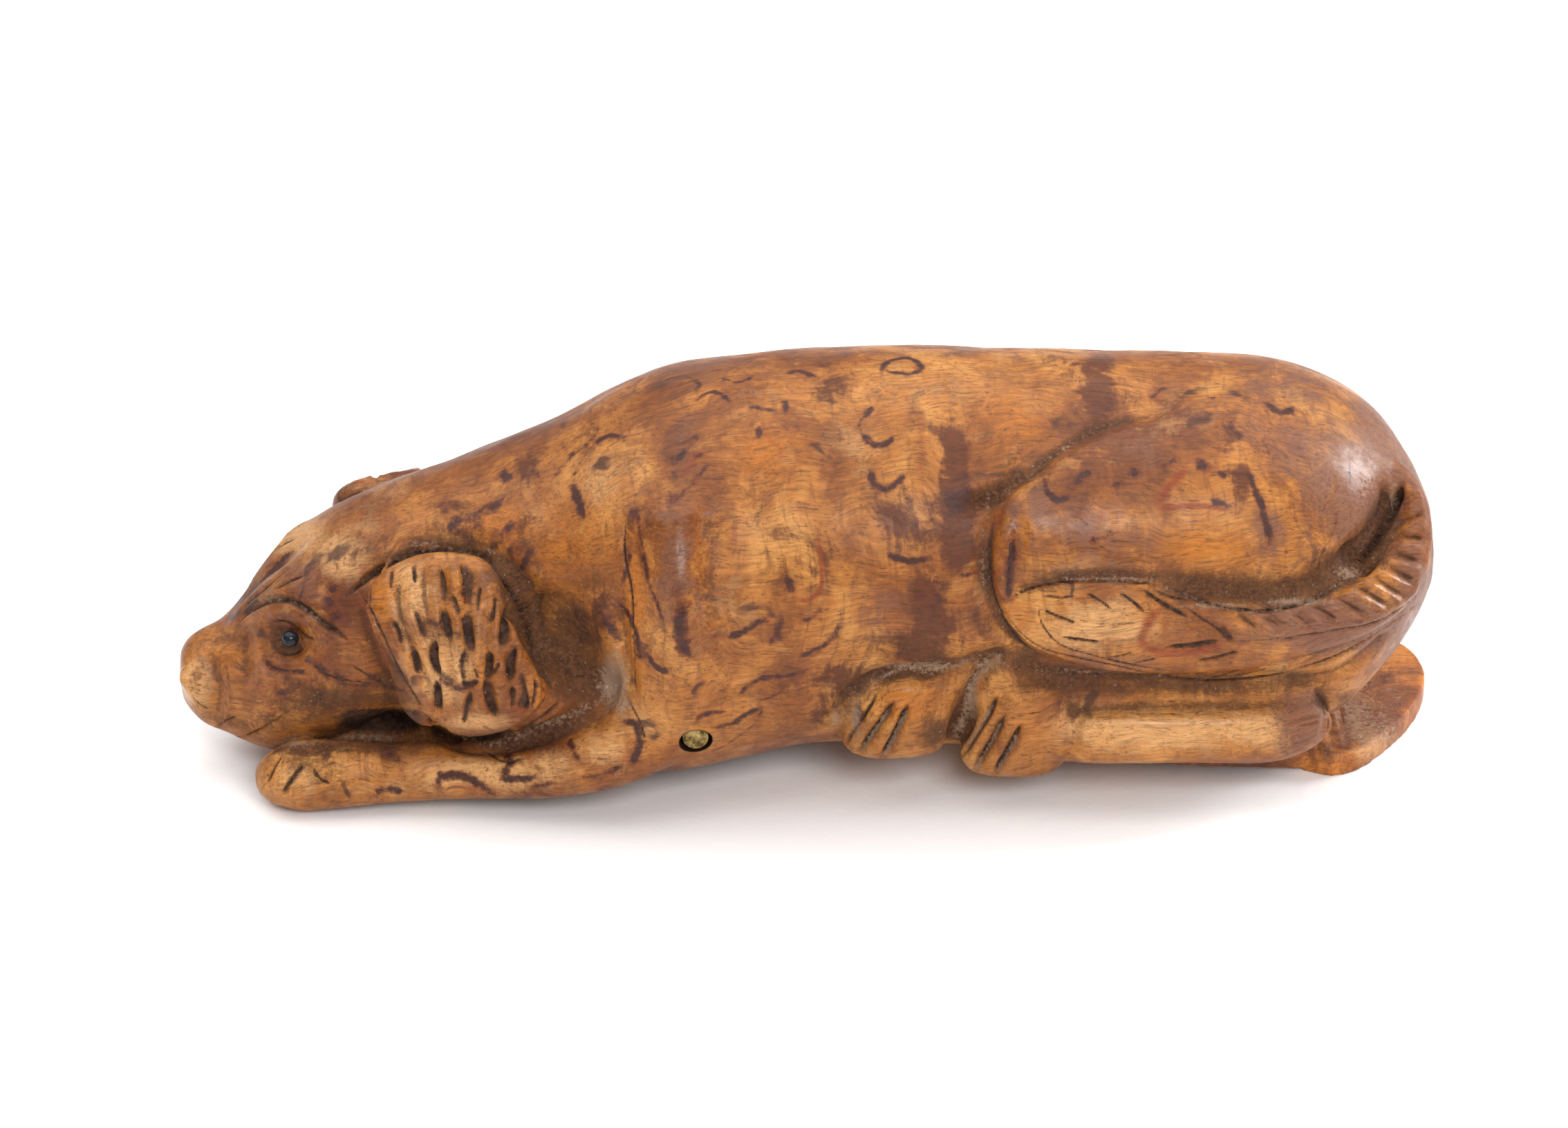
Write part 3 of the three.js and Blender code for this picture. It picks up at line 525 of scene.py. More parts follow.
NOTCHES = [
    (0.14, 0.1, [(1796, 890), (1808, 900), (1820, 910)]),
    (0.12, 0.1, [(1838, 896), (1848, 904), (1860, 912)]),
    (0.14, 0.1, [(1876, 888), (1888, 900), (1900, 909)]),
    (0.2, 0.16, [(1897, 873), (1920, 887), (1935, 897)]),
    (0.16, 0.12, [(1928, 860), (1950, 873), (1968, 884)]),
    (0.2, 0.16, [(1962, 847), (1987, 862), (2003, 872)]),
    (0.16, 0.12, [(1984, 831), (2008, 847), (2020, 855)]),
    (0.22, 0.18, [(1998, 813), (2023, 826), (2045, 838)]),
    (0.22, 0.18, [(2012, 796), (2034, 804), (2050, 810)]),
    (0.24, 0.2, [(2022, 774), (2042, 776), (2058, 778)]),
    (0.22, 0.2, [(2026, 752), (2044, 748), (2058, 742)]),
    (0.2, 0.16, [(2030, 730), (2040, 725), (2050, 716)]),
]
TAIL_LINES = [
    (0.5, 0.8, [(2028, 700), (2022, 723), (2008, 750), (1993, 777), (1973, 803), (1960, 822)]),
    (0.24, 0.5, [(1960, 822), (1930, 847), (1897, 866), (1863, 877), (1823, 883), (1783, 880),
                 (1750, 872), (1717, 860), (1683, 847)]),
    (0.2, 0.35, [(1683, 847), (1647, 842), (1597, 839), (1563, 839), (1530, 842), (1490, 851),
                 (1462, 864)]),
    (0.2, 0.3, [(1443, 872), (1457, 893), (1480, 920), (1507, 938), (1563, 953), (1607, 962), (1663, 974),
                (1730, 983), (1780, 983), (1847, 975), (1897, 962), (1947, 942), (1997, 912),
                (2047, 875)]),
    (0.16, 0.2, [(1500, 870), (1506, 900), (1530, 930), (1580, 948), (1640, 962), (1700, 972)]),
    (0.16, 0.2, [(1763, 930), (1863, 922), (1930, 912), (1980, 903), (2015, 887), (2048, 862)]),
    (0.2, 0.2, [(1463, 777), (1460, 813), (1458, 860)]),
]
FACE = [
    (0.44, 0.55, [(345, 898), (365, 880), (390, 868), (415, 867), (440, 879), (465, 899), (485, 912),
                  (503, 927)]),
    (0.2, 0.25, [(388, 904), (400, 899), (415, 900), (431, 911), (444, 921), (458, 926)]),
    (0.2, 0.25, [(392, 928), (405, 942), (422, 946), (438, 938)]),
    (0.13, 0.4, [(350, 1068), (362, 1061), (375, 1055), (400, 1040), (430, 1022)]),
    (0.16, 0.3, [(306, 1052), (318, 1060), (335, 1064), (352, 1066)]),
    (0.22, 0.25, [(312, 1052), (328, 1042), (342, 1036)]),
    (0.2, 0.3, [(276, 1005), (288, 1019), (302, 1026)]),
    (0.4, 0.4, [(424, 812), (405, 831), (388, 846), (364, 866), (345, 885)]),
    (0.3, 0.3, [(440, 830), (418, 840), (395, 852)]),
    (0.2, 0.2, [(385, 958), (400, 967), (422, 971), (446, 969)]),
    (0.22, 0.3, [(502, 860), (520, 844), (538, 830)]),
    (0.2, 0.2, [(452, 958), (470, 974), (502, 984), (545, 988)]),
    (0.18, 0.15, [(505, 960), (530, 975), (560, 992)]),
    (0.5, 0.55, [(441, 1101), (425, 1125), (405, 1152)]),
    (0.3, 0.3, [(452, 1108), (462, 1125), (480, 1135)]),
    (0.26, 0.35, [(408, 1090), (396, 1110), (385, 1134)]),
]
FEET = [
    (0.62, 0.85, [(1294, 1015), (1276, 1042), (1256, 1070), (1239, 1096)]),
    (0.58, 0.85, [(1314, 1021), (1302, 1050), (1288, 1078), (1272, 1102)]),
    (0.3, 0.4, [(1268, 1003), (1250, 1032), (1230, 1062), (1220, 1082)]),
    (0.45, 0.6, [(1441, 1010), (1424, 1040), (1405, 1070), (1388, 1096)]),
    (0.62, 0.85, [(1452, 1035), (1438, 1065), (1422, 1092), (1406, 1122)]),
    (0.55, 0.8, [(1477, 1050), (1464, 1078), (1450, 1102), (1438, 1124)]),
    (0.14, 0.2, [(1455, 1040), (1485, 1034), (1520, 1026)]), (0.12, 0.15, [(1475, 1092), (1490, 1093)]),
]
CREASES = [
    (0.4, 0.6, [(500, 862), (520, 845), (550, 822), (600, 798), (650, 794), (700, 805), (725, 833),
                (750, 870), (765, 910), (778, 955), (800, 995)]),
    (0.22, 0.3, [(520, 855), (535, 880), (548, 905), (562, 938), (580, 975), (600, 1008), (612, 1027)]),
    (0.4, 0.6, [(612, 1032), (640, 1054), (690, 1066), (740, 1058), (790, 1035), (812, 1012)]),
    (0.2, 0.35, [(905, 745), (903, 800), (912, 850), (915, 900), (917, 950), (920, 1005)]),
    (0.18, 0.25, [(905, 1008), (925, 1045), (935, 1075)]),
    (0.25, 0.3, [(1437, 745), (1430, 800), (1436, 850), (1452, 895), (1478, 930), (1510, 950)]),
    (0.2, 0.3, [(1903, 1000), (1922, 1030), (1917, 1080)]),
    (0.24, 0.25, [(700, 1085), (730, 1100), (760, 1096)]),
]


def surface_of(piece):
    return BVHTree.FromObject(piece, bpy.context.evaluated_depsgraph_get())


def as_rows(hits):
    """The places and the outward directions of hits on the wood, each as rows."""
    return np.array([h[0] for h in hits]).reshape(-1, 3), np.array([h[1] for h in hits]).reshape(-1, 3)


def on_wood(surface, line, gap=1.5):
    """Where a smooth line drawn in the picture meets the wood: places and outward directions."""
    line = np.array(line, float)
    length = np.linalg.norm(np.diff(line, axis=0), axis=1).sum()
    spots = line_through(np.column_stack([line, 0 * line[:, 0]]), np.linspace(0, 1, int(length / gap) + 2))
    reach = LENS / SENSOR * PICTURE[0]
    across = (spots[:, :1] - PICTURE[0] / 2) * SIDE
    down = (spots[:, 1:2] - PICTURE[1] / 2) * OVER
    rays = unit(across - down - reach * BACK)
    hits = [surface.ray_cast(Vector(EYE_POINT), Vector(ray)) for ray in rays]
    return as_rows([hit for hit in hits if hit[0] is not None])


def mirrored_onto(surface, spots, shift):
    """The same line on the other side of the body, moved by shift, where it is nearest the wood."""
    moved = spots * np.array([1, -1, 1]) + np.array(shift)
    return as_rows([surface.find_nearest(Vector(spot)) for spot in moved])


def along_cut(at, facing, spots, ways, half, reach=2.0):
    """For the points of the wood close to a line: which they are, how many half widths they lie
    from it, and how far along it."""
    margin = half * reach
    near = np.flatnonzero(((at > spots.min(0) - margin) & (at < spots.max(0) + margin)).all(1))
    if len(near) == 0:
        return near, np.zeros(0), np.zeros(0)
    gap = np.linalg.norm(at[near, None] - spots[None], axis=2)
    closest = gap.argmin(1)
    gap = gap[np.arange(len(near)), closest] / half
    keep = (gap < reach) & ((facing[near] * ways[closest]).sum(1) > 0.15)
    return near[keep], gap[keep], closest[keep] / max(len(spots) - 1, 1)


def cut(at, facing, lines, depth, soot, dark=1.0):
    """Adds cuts to the depth at each point: deepest on the line, sloping to its edges, thinning out
    at its ends, with a slight raised lip. The soot value is how deep in a cut the point lies, from 0 to
    dark; it darkens the cut as grime and as painted shade."""
    for half, deep, (spots, ways) in lines:
        if len(spots) < 2:
            continue
        near, gap, t = along_cut(at, facing, spots, ways, half)
        fade = np.clip(np.sin(np.pi * (0.05 + 0.9 * t)) * 1.6, 0.12, 1) ** 0.7
        gap = gap / (0.35 + 0.65 * fade)
        valley = deep * fade * np.clip(1 - gap, 0, 1) ** 1.1
        lip = 0.13 * abs(deep) * fade * np.exp(-((gap - 1.35) / 0.35) ** 2)
        depth[near] = np.where(np.abs(valley) > np.abs(depth[near]), valley, depth[near])
        depth[near] -= lip * (valley == 0)
        soot[near] = np.maximum(soot[near], dark * fade * np.clip(1.2 - gap, 0, 1))


def hand_waves(at, seed, count, low, high, size):
    """The slight unevenness of hand work: plane waves in random directions, with wavelengths from
    low to high, added up and divided by the square root of their count."""
    dice = np.random.default_rng(seed)
    way = unit(dice.normal(size=(count, 3))) * (2 * np.pi / dice.uniform(low, high, count))[:, None]
    return size * np.sin(at @ way.T + dice.uniform(0, 6.28, count)).sum(1) / math.sqrt(count)


def press(shape, half, deep, spots, ways):
    """Adds a broad hollow along a line: a bell curve across it, fading out at its ends."""
    near, gap, t = along_cut(at, facing, spots, ways, half, 2.6)
    fade = np.clip(np.sin(np.pi * (0.04 + 0.92 * t)) * 2.5, 0.2, 1)
    shape[near] += deep * np.exp(-1.1 * gap**2) * fade


surface = surface_of(hound)
facing = outward(wood)
shape = np.zeros(len(at))
for table, shift, share in ((HOLLOWS, (0, 0, 0), 1.0), (EAR_WAVES, EAR_FAR, 0.3)):
    for half, deep, line in table:
        spots, ways = on_wood(surface, line, 4)
        press(shape, half, deep, spots, ways)
        spots, ways = mirrored_onto(surface, spots, shift)
        if spots[:, 0].max() < 3:
            press(shape, half, share * (deep if deep > 0 else 0.4 * deep), spots, ways)
shape += hand_waves(at, 3, 40, 5.0, 14.0, 0.05) + hand_waves(at, 4, 40, 2.0, 4.0, 0.02)
at = eased(at - facing * shape[:, None], joins, 3)
put(wood, at)
surface = surface_of(hound)
facing = outward(wood)
seen = [(half, deep, on_wood(surface, line))
        for half, deep, line in CREASES + TAIL_LINES + FEET + FACE + LOCKS + FEATHERS]
hidden = [(half, deep, mirrored_onto(surface, on_wood(surface, line)[0], shift))
          for table, shift in ((CREASES[:4], (0, 0, 0)), (FACE, (0, 0, 0)), (LOCKS, EAR_FAR))
          for half, deep, line in table]
depth = np.zeros(len(at))
soot = np.zeros(len(at))
notches = [(half, deep, on_wood(surface, line)) for half, deep, line in NOTCHES]
cut(at, facing, seen + hidden, depth, soot)
cut(at, facing, notches, depth, soot, 0.3)
at = at - facing * depth[:, None]
at[:, 2] = np.maximum(at[:, 2], 0.0)
put(wood, at)

# Figure, dirt and painted light
# The burr's own dark curls and reddish streaks, its paler and darker parts, a plum tone that is
# partly a painted sheen, the grime and dust in the hollows with painted shade there and in the
# throat, and where hands have polished it. Lines are (half width, strength, line), patches
# (x, y, half sizes, strength).
CURLS = [
    (0.5, 0.9, [(352, 868), (375, 845), (398, 822), (420, 802)]),
    (0.35, 0.8, [(330, 895), (350, 885), (372, 868)]), (0.5, 0.9, [(668, 822), (674, 845), (677, 866)]),
    (0.4, 0.8, [(640, 986), (662, 994), (690, 984)]), (0.4, 0.7, [(440, 950), (470, 968), (500, 985)]),
    (0.6, 0.7, [(470, 862), (484, 880), (494, 904)]),
    (0.5, 0.7, [(640, 770), (665, 752), (700, 742), (728, 722)]),
    (0.5, 0.6, [(700, 800), (726, 778), (745, 750)]), (0.5, 0.7, [(862, 880), (880, 905), (898, 925)]),
    (0.5, 0.6, [(560, 1080), (566, 1094), (578, 1098)]),
    (0.35, 1.0, [(1258, 682), (1266, 700), (1282, 711)]),
    (0.28, 0.8, [(1283, 711), (1295, 700), (1306, 688)]),
    (0.28, 0.9, [(1275, 534), (1283, 524), (1305, 518), (1325, 522), (1332, 532), (1320, 540),
                 (1295, 539), (1277, 535)]),
    (0.32, 0.8, [(1136, 540), (1155, 537), (1178, 544)]),
    (0.2, 0.8, [(1044, 546), (1065, 553), (1080, 549), (1090, 543)]),
    (0.25, 0.9, [(1008, 578), (1025, 568), (1040, 569), (1056, 580)]),
    (0.22, 0.7, [(1085, 588), (1105, 592), (1122, 593)]), (0.35, 0.9, [(1135, 580), (1137, 596)]),
    (0.35, 0.9, [(1098, 616), (1099, 630)]), (0.3, 0.9, [(1262, 588), (1252, 600)]),
    (0.16, 0.6, [(1246, 604), (1243, 616), (1248, 628)]),
    (0.28, 1.0, [(1247, 628), (1258, 639), (1275, 644), (1291, 635)]),
    (0.3, 0.8, [(988, 642), (998, 635), (1010, 632)]), (0.3, 0.8, [(981, 668), (985, 658), (993, 650)]),
    (0.25, 0.6, [(975, 727), (990, 711), (1008, 693), (1022, 670)]),
    (0.3, 0.9, [(1285, 803), (1300, 808), (1320, 811), (1346, 808)]),
    (0.2, 0.7, [(1385, 831), (1400, 831), (1417, 826)]), (0.35, 0.9, [(1140, 838), (1147, 858)]),
    (0.32, 0.9, [(1050, 921), (1070, 916), (1090, 904), (1112, 893)]),
    (0.3, 0.9, [(1131, 896), (1124, 914), (1116, 930)]),
    (0.2, 0.6, [(1158, 899), (1178, 891), (1188, 877)]),
    (0.26, 0.8, [(1155, 949), (1175, 942), (1195, 930), (1209, 915), (1214, 903)]),
    (0.28, 0.8, [(1070, 1003), (1082, 991), (1108, 979), (1140, 977), (1166, 967)]),
    (0.2, 0.6, [(1088, 1013), (1115, 1008), (1142, 989)]),
    (0.26, 0.7, [(1032, 1052), (1060, 1046), (1080, 1032), (1102, 1022)]),
    (0.18, 0.6, [(1102, 1022), (1096, 1042), (1080, 1057), (1050, 1077), (1028, 1087)]),
    (0.28, 0.8, [(1003, 1046), (1020, 1032), (1048, 1029)]),
    (0.22, 0.7, [(921, 735), (926, 770), (931, 805), (938, 840), (950, 872), (961, 903)]),
    (0.28, 1.0, [(935, 944), (945, 960), (955, 968), (964, 971)]),
    (0.35, 0.9, [(903, 1040), (918, 1048), (924, 1065), (922, 1085), (915, 1107)]),
    (0.3, 0.7, [(822, 1068), (829, 1085), (838, 1103)]),
    (0.35, 0.9, [(735, 1083), (737, 1105), (728, 1124), (745, 1127), (775, 1123)]),
    (0.4, 0.9, [(633, 1140), (637, 1125), (655, 1121), (680, 1128), (700, 1138), (714, 1147)]),
    (0.4, 0.8, [(543, 1149), (560, 1140), (582, 1145)]), (0.25, 0.7, [(768, 1138), (800, 1134)]),
    (0.3, 0.6, [(838, 1126), (875, 1119), (900, 1107)]),
    (0.35, 0.6, [(853, 607), (862, 624), (850, 641), (830, 656), (814, 673), (800, 690)]),
    (0.32, 0.8, [(860, 641), (880, 631), (902, 633)]), (0.35, 1.0, [(829, 703), (836, 722), (844, 746)]),
    (0.18, 0.5, [(860, 641), (845, 660), (833, 680), (829, 703)]), (0.5, 0.9, [(726, 680), (735, 695)]),
    (0.3, 0.7, [(686, 748), (699, 736), (713, 730)]), (0.3, 0.6, [(655, 772), (675, 764), (692, 760)]),
    (0.5, 0.9, [(478, 848), (482, 856)]), (0.6, 0.8, [(990, 872), (984, 905), (994, 952)]),
    (0.3, 0.8, [(745, 840), (757, 818), (765, 804)]),
    (0.22, 0.7, [(900, 785), (910, 805), (905, 830), (898, 850)]),
    (0.3, 0.9, [(892, 868), (912, 893), (921, 920), (926, 950)]),
    (0.28, 1.0, [(1510, 694), (1517, 714), (1532, 723), (1546, 718)]),
    (0.38, 0.9, [(1556, 700), (1565, 688), (1578, 682)]), (0.5, 0.9, [(1610, 704), (1620, 701)]),
    (0.4, 0.8, [(1637, 684), (1645, 681)]), (0.25, 0.7, [(1674, 676), (1690, 671), (1700, 664)]),
    (0.42, 1.0, [(1734, 669), (1746, 676)]), (0.38, 0.9, [(1762, 684), (1774, 686)]),
    (0.4, 0.9, [(1832, 583), (1845, 593), (1860, 596), (1869, 590)]),
    (0.18, 0.6, [(1742, 569), (1752, 575), (1770, 572)]),
    (0.28, 0.8, [(1664, 576), (1675, 567), (1687, 560)]),
    (0.28, 0.8, [(1753, 724), (1768, 730), (1785, 733)]),
    (0.32, 0.9, [(1803, 680), (1812, 700), (1822, 725), (1828, 745), (1834, 765), (1838, 787)]),
    (0.16, 0.6, [(1936, 738), (1931, 760), (1924, 782)]), (0.14, 0.8, [(1916, 790), (1905, 826)]),
    (0.11, 1.0, [(1952, 664), (1953, 703)]), (0.14, 0.5, [(1861, 790), (1858, 832)]),
    (0.35, 0.9, [(1466, 783), (1463, 810), (1460, 840), (1458, 864)]),
    (0.3, 0.6, [(1577, 782), (1595, 778), (1614, 767)]), (0.3, 0.7, [(1379, 632), (1381, 640)]),
    (0.3, 0.7, [(380, 953), (400, 967), (442, 970)]),
    (0.3, 0.7, [(455, 962), (475, 979), (502, 989), (550, 991)]),
    (0.35, 0.6, [(530, 975), (560, 991), (592, 1001)]), (0.4, 0.6, [(400, 1003), (420, 998)]),
    (0.45, 0.5, [(430, 1018), (455, 1006)]), (0.3, 0.6, [(1003, 665), (1016, 655)]),
    (0.3, 0.5, [(1168, 646), (1176, 643)]), (0.5, 0.5, [(1310, 700), (1318, 740)]),
]
STREAKS = [
    (0.22, 0.8, [(1150, 866), (1167, 868), (1181, 860), (1188, 843), (1188, 815), (1185, 790),
                 (1183, 765)]),
    (0.25, 0.6, [(1020, 918), (1035, 923), (1052, 922)]),
    (0.32, 0.9, [(1676, 727), (1690, 705), (1705, 688), (1714, 681)]),
    (0.25, 0.9, [(1674, 736), (1700, 733), (1740, 731), (1776, 737)]),
    (0.5, 0.7, [(1728, 664), (1750, 682)]),
    (0.25, 0.8, [(1443, 742), (1435, 775), (1434, 815), (1441, 850), (1454, 868), (1470, 862)]),
    (0.45, 0.8, [(1677, 878), (1662, 900), (1652, 928), (1680, 943), (1725, 943), (1765, 935)]),
    (0.15, 0.6, [(1388, 546), (1402, 540), (1416, 539)]),
    (0.15, 0.6, [(1395, 552), (1410, 551), (1422, 545)]),
    (0.35, 0.5, [(1330, 590), (1333, 640), (1330, 690)]),
    (0.25, 0.5, [(1120, 660), (1130, 655), (1110, 630), (1100, 600)]),
    (0.5, 0.6, [(985, 690), (1000, 670), (1015, 650)]),
    (0.4, 0.6, [(650, 1138), (675, 1137), (700, 1144)]), (0.4, 0.6, [(1060, 760), (1062, 790)]),
    (0.6, 0.5, [(385, 980), (410, 1010), (380, 1040)]), (0.5, 0.5, [(720, 760), (745, 790), (742, 830)]),
    (0.5, 0.6, [(522, 862), (532, 905), (550, 945), (572, 990)]),
    (0.4, 0.5, [(600, 950), (612, 1000), (632, 1035)]), (0.5, 0.5, [(690, 985), (700, 1030)]),
    (0.4, 0.5, [(650, 955), (662, 990), (684, 1000)]), (0.5, 0.5, [(585, 860), (592, 900), (600, 940)]),
    (0.5, 0.5, [(735, 1000), (750, 1030), (770, 1020)]),
    (0.4, 0.5, [(1445, 765), (1448, 740), (1460, 725)]),
    (0.4, 0.6, [(1400, 830), (1440, 826), (1462, 820)]),
]
PALE = [
    (950, 1045, 60, 40, 0.5), (660, 1110, 140, 20, 0.6), (590, 860, 36, 50, 1.1),
    (640, 970, 60, 60, 1.0), (680, 1045, 50, 16, 0.8), (770, 1000, 14, 30, 0.6),
    (690, 880, 40, 40, 0.35), (430, 775, 60, 36, 1.0), (490, 800, 50, 40, 0.9), (385, 835, 36, 40, 0.4),
    (560, 700, 60, 30, 0.4), (1650, 1055, 170, 34, 1.0), (1800, 1055, 90, 34, 0.9),
    (700, 1118, 110, 26, 1.3), (560, 1140, 60, 16, 0.6), (1590, 905, 95, 42, 0.9),
    (1860, 965, 90, 18, 0.4), (868, 1080, 45, 34, 0.8), (500, 770, 60, 30, 0.5),
    (425, 1130, 40, 28, 0.7), (280, 990, 28, 40, 1.0), (790, 1110, 60, 22, 0.7),
    (425, 880, 40, 10, 0.4), (1340, 570, 170, 50, 0.35), (1240, 640, 60, 60, 0.4),
    (1050, 885, 70, 60, 0.35), (1560, 815, 60, 26, 0.5), (865, 700, 45, 45, 0.5),
    (1700, 600, 70, 40, 0.3), (1130, 560, 90, 30, 0.25), (1420, 850, 30, 40, 0.4),
    (770, 740, 30, 50, 0.4), (1070, 1030, 60, 30, 0.3),
]
ORANGE = [
    (556, 860, 26, 46, 0.8), (776, 1000, 18, 34, 0.9), (606, 960, 22, 40, 0.6), (700, 970, 20, 40, 0.6),
    (560, 1110, 60, 24, 0.5), (917, 880, 11, 70, 1.6), (926, 960, 10, 60, 0.8),
    (1445, 810, 11, 70, 0.6), (1745, 790, 80, 34, 1.0), (1120, 655, 60, 45, 0.8),
    (1460, 610, 80, 60, 0.6), (725, 760, 45, 40, 1.1), (815, 790, 55, 70, 0.6),
    (1310, 1020, 50, 38, 0.9), (1490, 1055, 50, 36, 0.7), (1700, 950, 70, 18, 0.6),
    (1475, 890, 32, 30, 0.9), (1830, 640, 30, 50, 0.5), (900, 900, 20, 60, 0.6),
    (600, 700, 60, 30, 0.3), (1030, 1000, 60, 40, 0.3), (1290, 610, 50, 40, 0.5),
    (1850, 820, 40, 25, 0.5), (690, 1140, 60, 14, 0.5), (660, 700, 40, 25, 0.4),
    (1230, 1060, 20, 40, 0.5), (1270, 1080, 30, 25, 0.5),
]
# Plum: partly the burr's own purple-brown, partly a painted sheen on the shoulder, the top of the back, the
# haunch and the rump.
PLUM_AND_SHEEN = [
    (1965, 700, 85, 110, 1.0), (1880, 560, 110, 55, 0.6), (1990, 620, 50, 70, 0.9),
    (1838, 765, 30, 60, 0.6), (1620, 790, 70, 36, 0.5), (1503, 735, 17, 42, 1.0),
    (1940, 905, 120, 40, 1.3), (1860, 890, 70, 30, 0.9), (1885, 1040, 36, 50, 1.1),
    (2045, 850, 35, 70, 0.9), (980, 830, 34, 110, 0.75), (985, 650, 25, 70, 0.4),
    (1000, 535, 120, 30, 0.5), (1350, 505, 200, 16, 0.4), (530, 730, 60, 45, 0.2),
    (470, 800, 50, 40, 0.2), (1560, 790, 90, 50, 0.6), (1880, 640, 60, 80, 0.6),
    (692, 872, 26, 44, 0.5), (1820, 620, 60, 40, 0.4), (1640, 650, 60, 30, 0.4),
    (1470, 745, 26, 30, 0.5), (1290, 760, 40, 50, 0.5), (1250, 880, 60, 50, 0.4),
    (1600, 960, 90, 14, 0.5), (330, 980, 45, 50, 0.35), (1900, 1040, 30, 40, 0.7),
    (1540, 770, 50, 40, 0.3), (440, 830, 40, 30, 0.4), (1890, 930, 120, 24, 0.5),
]
BANDS = [
    (1380, 680, 20, 76, 1.5), (1388, 765, 22, 60, 1.5), (440, 1082, 50, 14, 0.8),
    (1312, 755, 48, 50, 0.75), (655, 930, 40, 36, 0.4), (700, 735, 60, 40, 0.5),
    (745, 780, 30, 40, 0.5), (520, 1096, 50, 14, 0.5), (640, 790, 70, 14, 0.6), (490, 880, 40, 40, 0.6),
    (870, 885, 40, 40, 0.7), (560, 1088, 16, 12, 0.9), (1370, 620, 22, 40, 0.5),
    (1327, 640, 13, 80, 0.4), (1345, 885, 24, 60, 1.4), (1335, 935, 40, 26, 0.9),
    (1590, 560, 24, 55, 1.2), (1580, 610, 20, 30, 0.6), (1200, 555, 40, 40, 0.6),
    (1195, 610, 16, 40, 0.4), (1780, 640, 14, 45, 0.8), (1795, 700, 16, 50, 0.8),
    (986, 905, 12, 50, 0.9), (972, 690, 11, 70, 0.6), (1022, 845, 20, 40, 0.5),
    (1150, 805, 60, 50, 0.5), (1240, 985, 60, 30, 0.9), (1190, 1005, 22, 40, 0.7),
    (763, 685, 16, 28, 0.9), (640, 738, 28, 18, 0.6), (690, 775, 50, 18, 0.7), (850, 895, 60, 22, 0.7),
    (1310, 760, 30, 50, 0.4), (560, 790, 60, 22, 0.5), (1060, 780, 10, 40, 0.4),
    (1400, 900, 40, 30, 0.6), (860, 640, 40, 20, 0.3), (1350, 540, 20, 30, 0.3),
    (1860, 650, 30, 20, 0.4), (1640, 575, 30, 16, 0.5), (485, 870, 30, 30, 0.6),
    (400, 980, 30, 30, 0.4), (455, 1005, 40, 26, 0.5), (1560, 525, 60, 16, 0.3),
    (950, 560, 50, 20, 0.3), (1920, 800, 30, 26, 0.5),
]
# Grime and painted shade: dark patches in the neck hollow behind the ear, round the eye, under the jaw, in
# the throat, along the grooves and under the body.
GRIME_AND_SHADE = [
    (825, 930, 48, 75, 1.0), (860, 985, 50, 40, 1.0), (780, 880, 30, 40, 0.8),
    (1350, 1055, 26, 30, 0.9), (1540, 985, 90, 20, 1.0), (1720, 992, 180, 14, 1.0),
    (1480, 955, 40, 26, 1.0), (1865, 985, 60, 16, 0.9), (1800, 848, 100, 24, 1.0),
    (1930, 815, 40, 28, 1.0), (1990, 765, 22, 50, 1.0), (1600, 828, 120, 9, 0.8),
    (1500, 690, 60, 20, 0.5), (1430, 722, 34, 18, 0.9), (1600, 610, 60, 12, 0.4),
    (560, 1010, 60, 14, 0.8), (520, 1078, 110, 16, 0.8), (440, 1092, 50, 24, 0.7),
    (700, 1072, 110, 14, 1.0), (1415, 960, 60, 26, 0.8), (1300, 970, 90, 14, 0.8),
    (1425, 830, 8, 90, 0.2), (640, 783, 110, 10, 0.8), (480, 1120, 50, 24, 0.5),
    (560, 1105, 50, 20, 0.5), (1225, 1010, 30, 40, 0.7), (485, 1008, 62, 24, 1.0),
    (440, 1020, 50, 20, 0.8), (560, 985, 34, 24, 0.8), (1390, 1040, 14, 50, 0.8),
    (755, 860, 22, 50, 0.8), (408, 924, 22, 21, 1.0), (400, 1045, 50, 20, 0.6), (330, 920, 30, 14, 0.4),
    (365, 850, 36, 26, 0.5), (860, 840, 36, 40, 0.4), (1940, 1020, 16, 30, 0.6),
    (555, 1045, 75, 26, 1.0), (350, 1045, 40, 12, 0.6), (1300, 935, 100, 18, 0.5),
]
DUST = [
    (888, 985, 24, 48, 1.2), (900, 1015, 16, 26, 0.9), (1405, 1005, 12, 45, 0.9),
    (1340, 962, 90, 8, 0.8), (1450, 712, 30, 8, 0.5), (1428, 740, 8, 20, 0.5), (1600, 838, 100, 5, 0.8),
    (1760, 876, 60, 6, 0.9), (1880, 870, 60, 7, 1.0), (1950, 828, 22, 14, 0.8), (2014, 715, 7, 30, 0.8),
    (1423, 810, 7, 80, 0.5), (600, 786, 60, 6, 0.6), (700, 797, 50, 8, 0.5), (430, 1075, 50, 10, 0.7),
    (530, 1066, 80, 8, 0.8), (1238, 1040, 12, 40, 0.9), (1570, 970, 90, 6, 0.6), (400, 866, 50, 5, 0.7),
    (1430, 960, 30, 14, 0.8), (1210, 1040, 12, 20, 0.8), (790, 1045, 60, 8, 0.5),
    (455, 895, 20, 8, 0.6),
]
